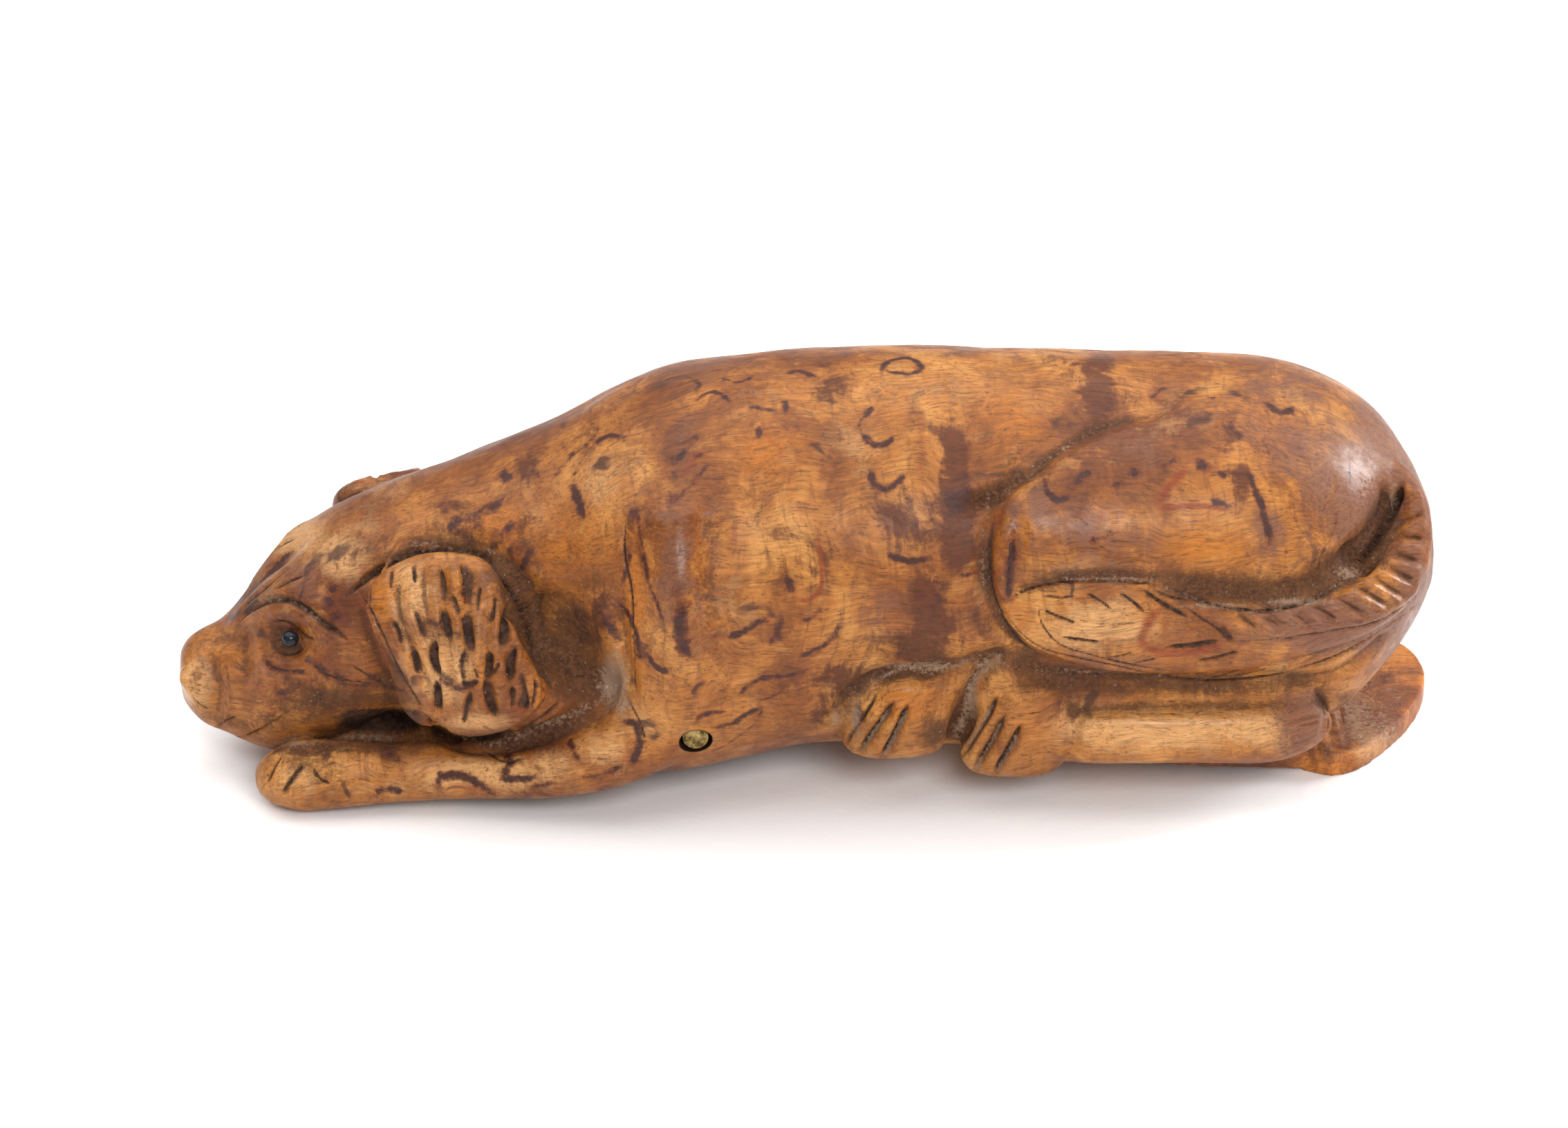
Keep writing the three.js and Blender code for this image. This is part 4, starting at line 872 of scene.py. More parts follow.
DUSTY = [
    (0.16, 0.6, [(1436, 722), (1480, 692), (1520, 662), (1560, 637)]),
    (0.25, 0.7, [(1665, 842), (1720, 862), (1760, 876), (1823, 884), (1880, 874), (1930, 848),
                 (1965, 818)]),
    (0.3, 0.7, [(1240, 1008), (1268, 985), (1310, 966), (1350, 970), (1400, 956)]),
    (0.4, 0.8, [(1455, 945), (1428, 966), (1407, 992), (1396, 1032), (1380, 1070)]),
    (0.26, 1.0, [(1245, 1088), (1258, 1068), (1274, 1043), (1288, 1022)]),
    (0.26, 1.0, [(1277, 1095), (1288, 1076), (1301, 1050), (1311, 1030)]),
    (0.14, 0.7, [(1225, 1072), (1232, 1060), (1248, 1036)]),
    (0.28, 1.0, [(1410, 1115), (1422, 1092), (1438, 1065), (1449, 1043)]),
    (0.24, 0.9, [(1441, 1118), (1450, 1102), (1464, 1078), (1473, 1060)]),
    (0.2, 0.8, [(1394, 1086), (1405, 1070), (1424, 1040), (1436, 1020)]),
    (0.25, 0.5, [(503, 858), (540, 828), (590, 800), (650, 794), (700, 806)]),
    (0.3, 0.5, [(365, 881), (390, 869), (415, 868), (440, 880), (470, 902)]),
    (0.4, 0.6, [(640, 1060), (700, 1072), (750, 1066), (800, 1042), (860, 1020), (895, 1010)]),
]
# Grime and painted shade along grooves: the haunch, the tail, the neck hollow, under the ear and above the
# feet.
GRIME_AND_SHADE_LINES = [
    (0.8, 1.0, [(1412, 722), (1436, 712), (1466, 698), (1490, 686)]),
    (0.42, 1.0, [(1480, 690), (1510, 668), (1545, 643), (1590, 620), (1640, 603)]),
    (0.5, 0.9, [(1480, 852), (1540, 834), (1620, 830), (1700, 838)]),
    (1.2, 1.1, [(1690, 838), (1740, 850), (1800, 854), (1860, 850), (1920, 832), (1965, 800)]),
    (1.1, 1.1, [(1960, 806), (1990, 770), (2014, 726)]),
    (1.7, 0.9, [(722, 838), (752, 880), (772, 930), (802, 976), (850, 1000)]),
    (0.8, 0.9, [(560, 806), (620, 786), (680, 788), (722, 812)]),
    (0.9, 0.9, [(1220, 1010), (1260, 982), (1320, 962), (1400, 950), (1460, 935)]),
]
POLISH = [
    (925, 700, 30, 60, 0.8), (982, 800, 40, 100, 1.2), (1955, 690, 44, 46, 0.75),
    (1560, 780, 90, 60, 0.6), (656, 838, 20, 26, 1.0), (705, 850, 14, 22, 0.9), (542, 885, 14, 36, 0.9),
    (1690, 1035, 150, 18, 0.8), (630, 930, 80, 110, 0.6), (430, 1130, 30, 24, 0.9),
    (275, 990, 22, 32, 1.0), (2000, 870, 70, 60, 0.8), (1870, 1040, 30, 30, 0.6),
    (440, 890, 60, 14, 0.6), (1300, 1010, 40, 40, 0.5), (1470, 780, 24, 60, 0.9),
    (905, 760, 16, 60, 0.6), (760, 1100, 120, 30, 0.4), (380, 980, 60, 40, 0.4),
    (1470, 1050, 40, 40, 0.4),
]
# Painted shade: the deep slot of the throat under the chin, painted near black.
THROAT_SHADE = [(548, 1040, 66, 17, 1.3)]
FAR_SHARE = 0.75


def in_picture(at):
    """Where points show in the picture: their place across it over their distance."""
    from_aim = at - AIM
    reach = LENS / SENSOR * PICTURE[0] / (FAR - from_aim @ BACK)
    return PICTURE[0] / 2 + reach * (from_aim @ SIDE), PICTURE[1] / 2 - reach * (from_aim @ OVER)


def patches(at, facing, table, power=2.0):
    """The strongest of several soft ellipses at each point. The side that faces away has the same
    patches, weaker, as if seen in a mirror."""
    out = []
    for side in (1, -1):
        px, py = in_picture(at * np.array([1, side, 1]))
        value = np.zeros(len(at))
        for x, y, wide, high, strength in table:
            far = (np.abs((px - x) / wide) ** power + np.abs((py - y) / high) ** power)
            value = np.maximum(value, strength * np.exp(-far))
        out.append(value)
    turned = np.clip(0.5 + 3 * facing @ BACK, 0, 1)
    return turned * out[0] + (1 - turned) * FAR_SHARE * out[1]


def drawn(at, facing, lines):
    """How much of a line lies at each point: full along its middle, fading at its edges and ends."""
    value = np.zeros(len(at))
    for half, strength, line in lines:
        spots, ways = on_wood(surface, line)
        near, gap, t = along_cut(at, facing, spots, ways, half, 2.4)
        fade = np.clip(np.sin(np.pi * (0.06 + 0.88 * t)) * 2.0, 0, 1)
        value[near] = np.maximum(value[near], strength * (0.35 + 0.65 * fade) * np.exp(-0.6 * gap**2))
    return value


def keep_value(mesh, name, values):
    layer = mesh.attributes.new(name, "FLOAT", "POINT")
    layer.data.foreach_set("value", np.asarray(values, np.float32))


surface = surface_of(hound)
facing = outward(wood)
# Painted shade: the throat slot is added to the near black of the cuts.
soot = np.maximum(soot, np.minimum(patches(at, facing, THROAT_SHADE, 4.0), 1))
# Painted shade: how far the wood lies below its smoothed neighbours, which the material darkens as shade in
# the hollows.
hollow = ((eased(at, joins, 60) - at) * facing).sum(1)
curl = drawn(at, facing, CURLS)
streak = drawn(at, facing, STREAKS)
for name, values in (
    ("hollow", np.clip(0.5 + hollow / 0.8, 0, 1)), ("soot", soot), ("curl", curl), ("streak", streak),
    ("pale", patches(at, facing, PALE)), ("orange", patches(at, facing, ORANGE)),
    ("plum_and_sheen", patches(at, facing, PLUM_AND_SHEEN)), ("band", patches(at, facing, BANDS, 3.0)),
    ("grime_and_shade", np.maximum(patches(at, facing, GRIME_AND_SHADE), drawn(at, facing, GRIME_AND_SHADE_LINES))),
    ("polish", patches(at, facing, POLISH)),
    ("dust", np.maximum(patches(at, facing, DUST), drawn(at, facing, DUSTY))),
):
    keep_value(wood, name, values)

# Hollowing
# From below: the seat of the lid, the mouth, the room for the snuff, the slot and bore of the
# hinge, and the two eye sockets. A gap is the room left round the piece that goes there.
HINGE_X = -10.7
HINGE_Z = 8.9
PIN_R = 1.1
PIN_HALF = 14.6
PIN_TURN = 0.32
KNUCKLE_R = 3.3
KNUCKLE_HALF = 5.2
GAP = 0.35
LID_THICK = 2.6
LID_START = -10.0
LID_END = 44.6
RIM = 1.9
CAVITY_START = -1.5
CAVITY_END = 41.0
CAVITY_HALF = 11.4
CAVITY_TOP = 30.8
CAVITY_MIDDLE = 17.5
CAVITY_LOW = 8.5
MOUTH = (1.5, 38.5)
KNUCKLE_GAP = 0.45
SLOT_HALF = 4.8
SOCKET_GAP = 0.32
EYES = [(-45.0, -7.75, 15.3), (-45.0, 7.55, 15.3)]
EYE_R = 0.75
LID_PLAN = [
    (-14.0, 5.2, 5.3),
    (-3.0, 5.4, 4.8),
    (4.0, 6.6, 4.1),
    (12.0, 8.2, 3.1),
    (20.0, 9.2, 2.3),
    (28.0, 9.6, 1.5),
    (36.0, 9.6, 0.8),
    (44.6, 9.3, 0.2),
]


def lid_half(x):
    return between(LID_PLAN, x)[:, 1]


def lid_under(x):
    return between(LID_PLAN, x)[:, 2]


def over_lid(x, half, low, high):
    """A flat-sided block: upright rings of four corners along X."""
    corner = [[x, -half, low], [x, half, low], [x, half, high], [x, -half, high]]
    return closed(np.array([[np.broadcast_to(v, x.shape) for v in c] for c in corner]).transpose(2, 0, 1))


def bar(radius, half, around=64):
    """A round bar along the hinge's axis."""
    a = 2 * np.pi * np.arange(around) / around
    y = np.array([half, -half])[:, None]
    x = HINGE_X + radius * np.cos(a) + 0 * y
    return closed(np.stack([x, y + 0 * a, HINGE_Z + radius * np.sin(a) + 0 * y], -1))


def ball(middle, radius):
    """A ball as level rings."""
    v = np.pi * (np.arange(23, 0, -1) / 24)[:, None]
    a = 2 * np.pi * np.arange(32) / 32
    rings = [np.sin(v) * np.cos(a), np.sin(v) * np.sin(a), np.cos(v) + 0 * a]
    points, faces = closed(np.stack(rings, -1) * radius)
    return points + np.array(middle), faces


def room():
    """The room for snuff: upright rings, rounded squares that narrow towards both ends."""
    x = np.concatenate([np.linspace(CAVITY_START, 1, 8), np.linspace(2, 38, 30),
                        np.linspace(39, CAVITY_END, 8)])
    t = 2 * (x - CAVITY_START) / (CAVITY_END - CAVITY_START) - 1
    fill = (0.55 + 0.45 * np.sqrt(np.clip(1 - np.abs(t) ** 5, 0, 1)))[:, None]
    c, s = rounded(2 * np.pi * (np.arange(60) + 0.5) / 60, 2.6)
    high = np.where(s > 0, CAVITY_TOP - CAVITY_MIDDLE, CAVITY_MIDDLE - CAVITY_LOW)
    z = CAVITY_MIDDLE + high * fill * s
    return closed(np.stack([x[:, None] + 0 * c, CAVITY_HALF * fill * c, z], -1))


x = np.linspace(-15.2, 60, 60)
seat_half = lid_half(np.minimum(x, LID_END)) + GAP + 2 * (x > 43)
seat = over_lid(x, seat_half, -3.0, lid_under(np.minimum(x, LID_END)) + LID_THICK + GAP)
x = np.linspace(*MOUTH, 40)
mouth = over_lid(x, lid_half(x) - RIM, 0.0, 14.0)
x = np.array([-SLOT_HALF, SLOT_HALF]) + HINGE_X - 0.4
slot = over_lid(x, KNUCKLE_HALF + GAP, -4.0, HINGE_Z)
cutters = [seat, mouth, room(), slot, bar(KNUCKLE_R + KNUCKLE_GAP, KNUCKLE_HALF + GAP)]
cutters += [bar(PIN_R + PIN_TURN, 24, 40)] + [ball(eye, EYE_R + SOCKET_GAP) for eye in EYES]

coarse = np.flatnonzero((soot < 0.02) & (curl < 0.04) & (streak < 0.06))
hound.vertex_groups.new(name="coarse").add(coarse.tolist(), 1.0, "REPLACE")
TRIANGLES = 186000
wood = finished(hound, "DECIMATE", ratio=TRIANGLES / (2 * len(wood.polygons)), vertex_group="coarse")
for points, faces in cutters:
    cutter = shown("cutter", mesh_of("cutter", points, faces))
    wood = finished(hound, "BOOLEAN", operation="DIFFERENCE", object=cutter, solver="MANIFOLD")
    bpy.data.objects.remove(cutter)


def settled(piece, sharp=60):
    """The mesh from millimetres to metres, shaded smooth but for its sharp edges."""
    mesh = piece.data
    put(mesh, places(mesh) * MM)
    mesh.shade_smooth()
    mesh.set_sharp_from_angle(angle=math.radians(sharp))
    return piece


def node(tree, kind, sockets=None, **settings):
    """A node with its settings, each socket given a value or the output that feeds it."""
    made = tree.nodes.new(kind)
    for name, value in settings.items():
        setattr(made, name, value)
    for name, value in (sockets or {}).items():
        if isinstance(value, bpy.types.NodeSocket):
            tree.links.new(value, made.inputs[name])
        else:
            made.inputs[name].default_value = value
    return made


def blank(name):
    """A new material and its tree, with nothing in it yet."""
    made = bpy.data.materials.new(name)
    made.use_nodes = True
    made.node_tree.nodes.clear()
    return made, made.node_tree


def scaled(tree, size):
    """Object coordinates in millimetres, times a size."""
    where = node(tree, "ShaderNodeTexCoord")
    sockets = {"Vector": where.outputs["Object"], "Scale": (size * 1000,) * 3}
    return node(tree, "ShaderNodeMapping", sockets).outputs[0]


def noise(tree, vector, detail=3.0, rough=0.5):
    made = node(tree, "ShaderNodeTexNoise", {"Vector": vector, "Scale": 1.0, "Detail": detail,
                                             "Roughness": rough})
    return made.outputs["Fac"]


def vectors(tree, kind, a, b=(0, 0, 0)):
    made = node(tree, "ShaderNodeVectorMath", {0: a, 1: b}, operation=kind)
    return made.outputs["Value" if kind in ("LENGTH", "DOT_PRODUCT") else "Vector"]


def stirred(tree, where, scale, far):
    """A place moved about by slow noise, by up to half of far."""
    stir = node(tree, "ShaderNodeTexNoise", {"Vector": where, "Scale": scale, "Detail": 2.0})
    stir = vectors(tree, "SUBTRACT", stir.outputs["Color"], (0.5, 0.5, 0.5))
    return vectors(tree, "ADD", where, vectors(tree, "MULTIPLY", stir, (far, far, far)))


def ramp(tree, value, *stops):
    """Smooth steps between (place, brightness) stops, or (place, colour) stops."""
    made = node(tree, "ShaderNodeValToRGB", {"Fac": value})
    made.color_ramp.interpolation = "EASE"
    while len(made.color_ramp.elements) < len(stops):
        made.color_ramp.elements.new(0.5)
    for element, (place, shade) in zip(made.color_ramp.elements, stops):
        element.position = place
        element.color = (*shade, 1) if isinstance(shade, tuple) else (shade, shade, shade, 1)
    return made.outputs["Color"]


def maths(tree, kind, a, b=0.5):
    return node(tree, "ShaderNodeMath", {0: a, 1: b}, operation=kind).outputs[0]


def blended(tree, share, a, b, kind="MIX"):
    """Colour b over colour a."""
    a, b = [(*v, 1) if isinstance(v, tuple) else v for v in (a, b)]
    return node(tree, "ShaderNodeMix", {0: share, 6: a, 7: b}, data_type="RGBA", blend_type=kind).outputs[2]


def relief(tree, height, strength, distance):
    sockets = {"Height": height, "Strength": strength, "Distance": distance}
    return node(tree, "ShaderNodeBump", sockets).outputs[0]


def skin(tree, sockets):
    """The material's surface, with these values and outputs in its sockets."""
    made = node(tree, "ShaderNodeBsdfPrincipled", sockets)
    node(tree, "ShaderNodeOutputMaterial", {"Surface": made.outputs[0]})


def of_mesh(tree, name):
    return node(tree, "ShaderNodeAttribute", attribute_name=name).outputs["Fac"]


def curls(tree, size, keep, turn=0):
    """Short dark arcs: round cells, each with a ring of its own radius, of which only the part on
    one side of a direction of its own is kept."""
    here = vectors(tree, "ADD", stirred(tree, scaled(tree, 1), 0.3, 4.0), (turn, turn * 1.7, turn * 0.6))
    cell = node(tree, "ShaderNodeTexVoronoi", {"Vector": here, "Scale": 1 / size, "Randomness": 1.0})
    away = vectors(tree, "SUBTRACT", here, cell.outputs["Position"])
    far = vectors(tree, "LENGTH", away)
    own = vectors(tree, "NORMALIZE", vectors(tree, "SUBTRACT", cell.outputs["Color"], (0.5, 0.5, 0.5)))
    part = vectors(tree, "DOT_PRODUCT", away, own)
    split = node(tree, "ShaderNodeSeparateColor", {"Color": cell.outputs["Color"]})
    ring = maths(tree, "MULTIPLY", split.outputs["Green"], size * 0.28)
    ring = maths(tree, "ADD", ring, size * 0.10)
    ring = maths(tree, "ABSOLUTE", maths(tree, "SUBTRACT", far, ring))
    ring = ramp(tree, maths(tree, "DIVIDE", ring, size), (0.03, 1), (0.08, 0))
    part = ramp(tree, maths(tree, "DIVIDE", part, size), (0.04, 0), (0.16, 1))
    there = ramp(tree, split.outputs["Blue"], (1 - keep, 0), (1 - keep + 0.02, 1))
    return maths(tree, "MULTIPLY", maths(tree, "MULTIPLY", ring, part), there)


def ragged(tree, value, speck, spread, low, high, top=1.0):
    """A value with its edge broken up by noise, as a clean step from low to high."""
    shift = maths(tree, "MULTIPLY", maths(tree, "SUBTRACT", speck, 0.5), spread)
    return ramp(tree, maths(tree, "ADD", value, shift), (low, 0), (high, top))


# How each kind of patch breaks up at its edge (by how much, from where to where, how far in all),
# and its colour.
PATCH_TONES = [
    ("pale", 3.0, 0.15, 0.95, 0.85, (0.540, 0.280, 0.105)),
    ("orange", 3.0, 0.15, 0.95, 0.85, (0.370, 0.116, 0.012)),
    # The plum tone is partly a painted sheen.
    ("plum_and_sheen", 2.4, 0.10, 0.75, 0.88, (0.165, 0.066, 0.036)),
    ("band", 3.6, 0.25, 0.80, 0.90, (0.082, 0.020, 0.006)),
]


def burr(name, shade=1.0):
    """Waxed burr wood: honey amber in clouds and upright bands, wavy grain along the length, dark
    curls with a red edge, a plum tone that is partly a painted sheen, grime with painted shade where
    the wood lies low and in its cuts, and painted shade in the bore of the pin."""
    made, tree = blank(name)
    here = scaled(tree, 1)
    waved = stirred(tree, here, 0.11, 5.0)

    def drawn_out(x, y, z):
        return node(tree, "ShaderNodeMapping", {"Vector": waved, "Scale": (x, y, z)}).outputs[0]

    cloud = noise(tree, drawn_out(0.10, 0.08, 0.07), detail=6.0, rough=0.62)
    small = noise(tree, drawn_out(0.30, 0.45, 0.40), detail=6.0, rough=0.60)
    upright = noise(tree, drawn_out(1.6, 0.5, 0.13), detail=4.0, rough=0.6)
    grain = noise(tree, drawn_out(0.30, 3.5, 3.5), detail=5.0, rough=0.70)
    fibre = noise(tree, drawn_out(0.5, 8.0, 8.0), detail=3.0, rough=0.60)
    speck = noise(tree, scaled(tree, 2.6), detail=5.0, rough=0.8)
    colour = ramp(tree, cloud, (0.38, (0.130, 0.036, 0.009)), (0.47, (0.220, 0.068, 0.013)),
                  (0.55, (0.330, 0.118, 0.022)), (0.66, (0.440, 0.190, 0.045)))
    colour = blended(tree, ramp(tree, small, (0.50, 0), (0.62, 0.5)), colour, (0.130, 0.036, 0.010))
    colour = blended(tree, ramp(tree, small, (0.34, 0.35), (0.44, 0)), colour, (0.450, 0.190, 0.045))
    colour = blended(tree, ramp(tree, upright, (0.53, 0), (0.64, 0.45)), colour, (0.140, 0.040, 0.011))
    rag = maths(tree, "ADD", maths(tree, "MULTIPLY", small, 0.55), maths(tree, "MULTIPLY", upright, 0.25))
    rag = maths(tree, "ADD", rag, maths(tree, "MULTIPLY", speck, 0.2))
    for kind, spread, low, high, top, tone in PATCH_TONES:
        patch = ragged(tree, of_mesh(tree, kind), rag, spread, low, high, top)
        colour = blended(tree, patch, colour, tone)
    red = ragged(tree, of_mesh(tree, "streak"), speck, 0.9, 0.15, 0.9, 0.8)
    colour = blended(tree, red, colour, (0.190, 0.030, 0.007))
    broken = noise(tree, scaled(tree, 1.1), detail=5.0, rough=0.65)
    halo = ragged(tree, of_mesh(tree, "curl"), broken, 1.6, 0.10, 0.75, 0.75)
    colour = blended(tree, halo, colour, (0.130, 0.030, 0.009))
    own = ragged(tree, of_mesh(tree, "curl"), broken, 2.0, 0.36, 0.85, 0.95)
    wild = maths(tree, "MAXIMUM", curls(tree, 5.0, 0.45), curls(tree, 8.0, 0.4, 3.1))
    wild = maths(tree, "MULTIPLY", wild, 0.8)
    wild = maths(tree, "MULTIPLY", wild, ramp(tree, small, (0.40, 0.1), (0.56, 1)))
    colour = blended(tree, maths(tree, "MAXIMUM", own, wild), colour, (0.040, 0.012, 0.009))
    lines = ramp(tree, grain, (0.34, 0.64), (0.48, 0.98), (0.64, 1.24))
    colour = blended(tree, 1.0, colour, lines, "MULTIPLY")
    colour = blended(tree, ramp(tree, fibre, (0.57, 0), (0.66, 0.7)), colour, (0.075, 0.024, 0.010))
    # Painted shade with grime: darker where the wood lies low and in the grimy patches.
    low = ragged(tree, of_mesh(tree, "hollow"), speck, 0.6, 0.56, 0.78)
    dirt = maths(tree, "ADD", maths(tree, "MULTIPLY", speck, 0.45), maths(tree, "MULTIPLY", rag, 0.55))
    grime_and_shade = ragged(tree, of_mesh(tree, "grime_and_shade"), dirt, 3.2, 0.2, 0.95, 0.97)
    low = maths(tree, "MAXIMUM", low, grime_and_shade)
    soot = ragged(tree, of_mesh(tree, "soot"), speck, 1.1, 0.4, 0.95, 0.9)
    earth_and_shade = ramp(tree, speck, (0.38, (0.030, 0.012, 0.006)), (0.62, (0.120, 0.048, 0.020)))
    colour = blended(tree, maths(tree, "MULTIPLY", low, 0.9), colour, earth_and_shade)
    # Painted shade with grime: near black in the cuts and in the throat.
    black = ramp(tree, broken, (0.40, (0.018, 0.008, 0.006)), (0.64, (0.085, 0.038, 0.020)))
    colour = blended(tree, soot, colour, black)
    dust = ragged(tree, of_mesh(tree, "dust"), speck, 2.6, 0.35, 1.2, 0.8)
    colour = blended(tree, dust, colour, (0.310, 0.200, 0.130))
    flecks = ramp(tree, noise(tree, scaled(tree, 3.1), detail=2.0), (0.67, 0), (0.73, 1))
    lying = maths(tree, "MAXIMUM", maths(tree, "MULTIPLY", low, 0.3), dust)
    flecks = maths(tree, "MULTIPLY", flecks, lying)
    colour = blended(tree, flecks, colour, (0.52, 0.42, 0.34))
    if shade != 1.0:
        colour = blended(tree, 1.0, colour, (shade, shade * 0.96, shade * 0.95), "MULTIPLY")
    # Painted shade: near black inside the bore round the pin.
    apart = vectors(tree, "SUBTRACT", here, (HINGE_X, 0, HINGE_Z))
    apart = vectors(tree, "LENGTH", vectors(tree, "MULTIPLY", apart, (1, 0, 1)))
    bore_shade = ramp(tree, maths(tree, "MULTIPLY", apart, 0.1), (0.143, 0.95), (0.152, 0))
    colour = blended(tree, bore_shade, colour, (0.012, 0.008, 0.006))
    dull = maths(tree, "MAXIMUM", low, maths(tree, "MAXIMUM", soot, dust))
    rough = ramp(tree, small, (0.35, 0.40), (0.65, 0.52))
    rough = maths(tree, "ADD", rough, maths(tree, "MULTIPLY", dull, 0.3))
    gloss = ragged(tree, of_mesh(tree, "polish"), broken, 1.4, 0.1, 0.9, 0.27)
    rough = maths(tree, "SUBTRACT", rough, gloss)
    bumps = maths(tree, "ADD", maths(tree, "MULTIPLY", grain, 0.12), maths(tree, "MULTIPLY", small, 0.5))
    bumps = maths(tree, "ADD", bumps, maths(tree, "MULTIPLY", maths(tree, "MULTIPLY", dull, speck), 1.2))
    skin(tree, {"Base Color": colour, "Roughness": rough, "IOR": 1.5, "Specular IOR Level": 0.26,
                "Normal": relief(tree, bumps, 0.5, 0.0002)})
    return made


hound.data.materials.clear()
hound.data.materials.append(burr("burr_wood"))
settled(hound)
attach(hound, "hound")
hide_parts("hound_body")

# The lid
# A flat plate of the same wood that closes the underside. It turns on a round knuckle at its
# front end, has a raised panel that fits the mouth, and ends in a thumb tab behind the rump.
PANEL = (2.2, 37.8)
PANEL_HIGH = 1.1
PANEL_GAP = 0.45
TAB_THICK = 2.1
NECK_HALF = 8.6
LID_VOXEL = 0.2
LID_TRIANGLES = 60000
TAB = [
    (42.6, -9.2), (44.7, -10.2), (47.1, -9.5), (50.0, -6.6), (52.4, -3.4), (54.2, 0.2), (55.0, 3.4),
    (54.7, 6.6), (53.4, 9.0), (50.6, 10.3), (46.6, 10.3), (44.0, 9.4),
]
# On the lid, the grime patches along its edge under the body are painted shade as well as grime.
LID_MARKS = [
    ("dust", [(1955, 1010, 70, 46, 1.1), (1990, 1060, 60, 40, 0.8)]),
    ("pale", [(1980, 1080, 60, 24, 0.7)]),
    ("grime_and_shade", [(1900, 1060, 60, 40, 0.8), (1600, 1100, 400, 20, 0.5)]),
    ("band", [(1940, 1075, 40, 14, 0.8), (1985, 960, 30, 30, 0.5), (2030, 1050, 16, 40, 0.5)]),
    ("plum_and_sheen", [(2010, 1000, 40, 60, 0.6), (1700, 1100, 200, 30, 0.6)]),
]


def slab(outline, low, high):
    """A flat piece between two heights, from its outline."""
    flat = np.array(outline)
    level = [np.column_stack([flat, np.full(len(flat), z)]) for z in (low, high)]
    return closed(np.stack(level))


x = np.linspace(LID_START, LID_END, 80)
plate = over_lid(x, lid_half(x), lid_under(x), lid_under(x) + LID_THICK)
x = np.linspace(*PANEL, 50)
lid_top = lid_under(x) + LID_THICK
panel = over_lid(x, lid_half(x) - RIM - PANEL_GAP, lid_top - 0.5, lid_top + PANEL_HIGH)
t = np.linspace(0, 1, 73)[:-1]
edge = line_through([(*p, 0) for p in TAB + TAB[:1]], t)[:, :2]
x = np.linspace(40, 46, 8)
neck = over_lid(x, NECK_HALF + 0 * x, 0.1 + 0 * x, TAB_THICK + 0.4 + 0 * x)
lid = shown("hinged_lid", mesh_of("hinged_lid", *plate))
for points, faces in (panel, slab(edge, 0.0, TAB_THICK), neck, bar(KNUCKLE_R, KNUCKLE_HALF)):
    part = shown("part", mesh_of("part", points, faces))
    finished(lid, "BOOLEAN", operation="UNION", object=part, solver="MANIFOLD")
    bpy.data.objects.remove(part)
lid_mesh = finished(lid, "REMESH", mode="VOXEL", voxel_size=LID_VOXEL)
put(lid_mesh, eased(places(lid_mesh), links(lid_mesh), 4))
finished(lid, "DECIMATE", ratio=LID_TRIANGLES / (2 * len(lid_mesh.polygons)))
part = shown("part", mesh_of("part", *bar(PIN_R + PIN_TURN, 10, 40)))
finished(lid, "BOOLEAN", operation="DIFFERENCE", object=part, solver="MANIFOLD")
bpy.data.objects.remove(part)
lid_at = places(lid.data)
lid_facing = outward(lid.data)
for name, table in LID_MARKS:
    keep_value(lid.data, name, patches(lid_at, lid_facing, table))
lid.data.materials.clear()
lid.data.materials.append(burr("lid_wood", 1.4))
settled(lid)
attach(lid, "lid")
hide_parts("lid")

# The hinge pin
# A thick brass wire driven across the chest, through the wood and the knuckle of the lid, which
# turns on it. Its ends are filed flush and have gone brown.
PIN_OUT = 0.6
pin = shown("brass_pin", mesh_of("brass_pin", *bar(PIN_R, PIN_HALF + PIN_OUT, 48)))
brass, tree = blank("brass")
tarnish = noise(tree, scaled(tree, 1.6), detail=5.0, rough=0.7)
colour = ramp(tree, tarnish, (0.38, (0.10, 0.062, 0.020)), (0.55, (0.30, 0.21, 0.075)),
              (0.7, (0.50, 0.38, 0.16)))
rough = ramp(tree, tarnish, (0.4, 0.6), (0.7, 0.32))
skin(tree, {"Base Color": colour, "Metallic": 0.9, "Roughness": rough,
            "Normal": relief(tree, tarnish, 0.5, 0.0002)})
pin.data.materials.append(brass)
settled(pin, 40)
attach(pin, "hound")
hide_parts("hinge_pin")
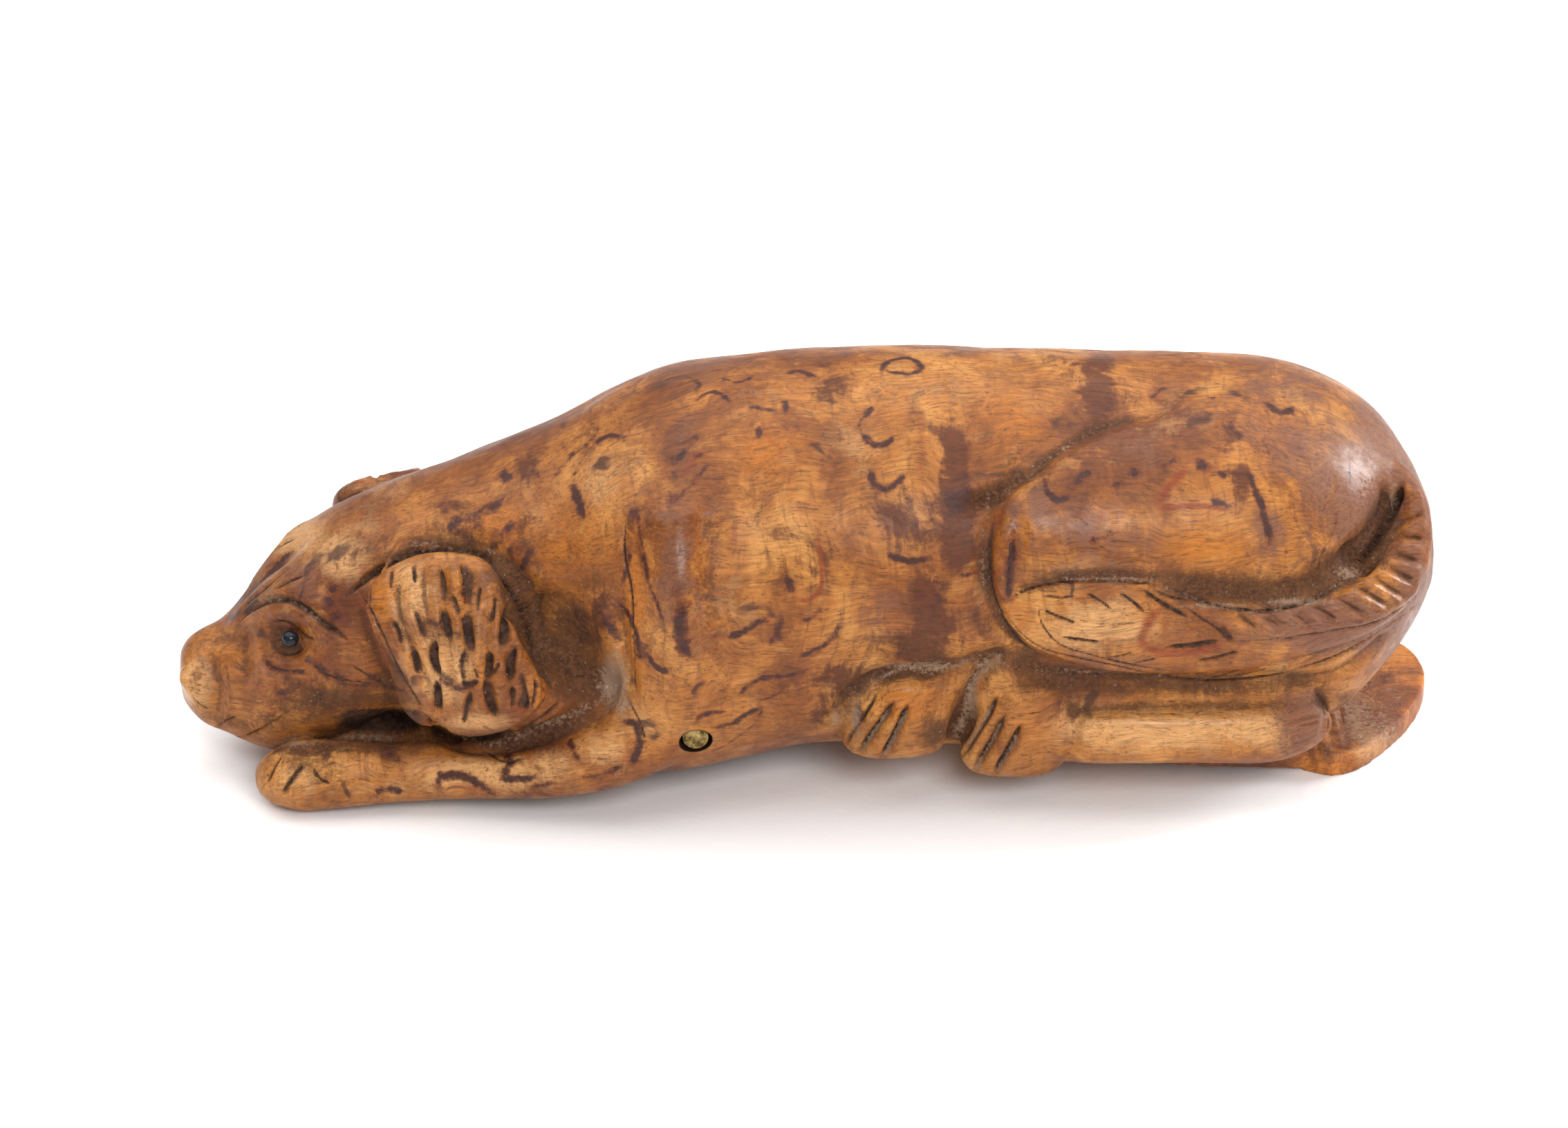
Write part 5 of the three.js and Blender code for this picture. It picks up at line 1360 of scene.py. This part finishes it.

# The eyes
# Two polished beads of black glass, pressed into drilled sockets on either side of the head. The
# dark ring round each is on the wood, as grime and painted shade.
glass, tree = blank("black_glass")
haze = noise(tree, scaled(tree, 2.5), detail=3.0)
colour = ramp(tree, haze, (0.35, (0.004, 0.005, 0.008)), (0.7, (0.014, 0.016, 0.022)))
skin(tree, {"Base Color": colour, "IOR": 1.52, "Specular IOR Level": 0.25,
            "Roughness": ramp(tree, haze, (0.3, 0.06), (0.7, 0.16))})
for name, place in zip(("left_eye", "right_eye"), EYES):
    eye = shown(name.replace("eye", "bead"), mesh_of(name, *ball(place, EYE_R)))
    eye.data.materials.append(glass)
    settled(eye)
    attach(eye, "hound")
    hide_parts(name)

# Table and light
# A plain pale table in a white room, with a broad soft light above and behind the box and two
# small ones, in front and at the right, that make its highlights.
TABLE_HALF = 3.0
corners = [(-1, -1, 0), (1, -1, 0), (1, 1, 0), (-1, 1, 0)]
table_mesh = bpy.data.meshes.new("table")
table_mesh.from_pydata((np.array(corners) * TABLE_HALF).tolist(), [], [(0, 1, 2, 3)])
table = shown("table", table_mesh)
paper, tree = blank("paper")
tooth = noise(tree, scaled(tree, 0.6), detail=4.0)
sockets = {"Base Color": (0.93, 0.92, 0.92, 1), "Roughness": 0.9, "Specular IOR Level": 0.1,
           "Normal": relief(tree, tooth, 0.15, 0.0004)}
matt = node(tree, "ShaderNodeBsdfPrincipled", sockets)
clear = node(tree, "ShaderNodeBsdfTransparent")
under = node(tree, "ShaderNodeNewGeometry").outputs["Backfacing"]
both = node(tree, "ShaderNodeMixShader", {"Fac": under, 1: matt.outputs[0], 2: clear.outputs[0]})
node(tree, "ShaderNodeOutputMaterial", {"Surface": both.outputs[0]})
table_mesh.materials.append(paper)


def lamp(name, place, size, power):
    """A square soft lamp at a place in millimetres, facing the box."""
    light = bpy.data.lights.new(name, "AREA")
    light.shape = "RECTANGLE"
    light.size = size[0]
    light.size_y = size[1]
    light.energy = power
    made = bpy.data.objects.new(name, light)
    made.location = Vector(place) * MM
    made.rotation_euler = (Vector((0, 0, 15)) - Vector(place)).to_track_quat("-Z", "Y").to_euler()
    bpy.context.scene.collection.objects.link(made)


ROOM_LIGHT = 0.42
lamp("top_light", (-100, 250, 1200), (2.4, 1.8), 27)
lamp("front_light", (190, -740, 620), (0.50, 0.36), 5.4)
lamp("right_light", (780, 280, 400), (0.34, 0.34), 6.0)
world = bpy.data.worlds.new("room")
world.use_nodes = True
world.node_tree.nodes["Background"].inputs["Color"].default_value = (1.0, 0.99, 0.985, 1)
world.node_tree.nodes["Background"].inputs["Strength"].default_value = ROOM_LIGHT
bpy.context.scene.world = world
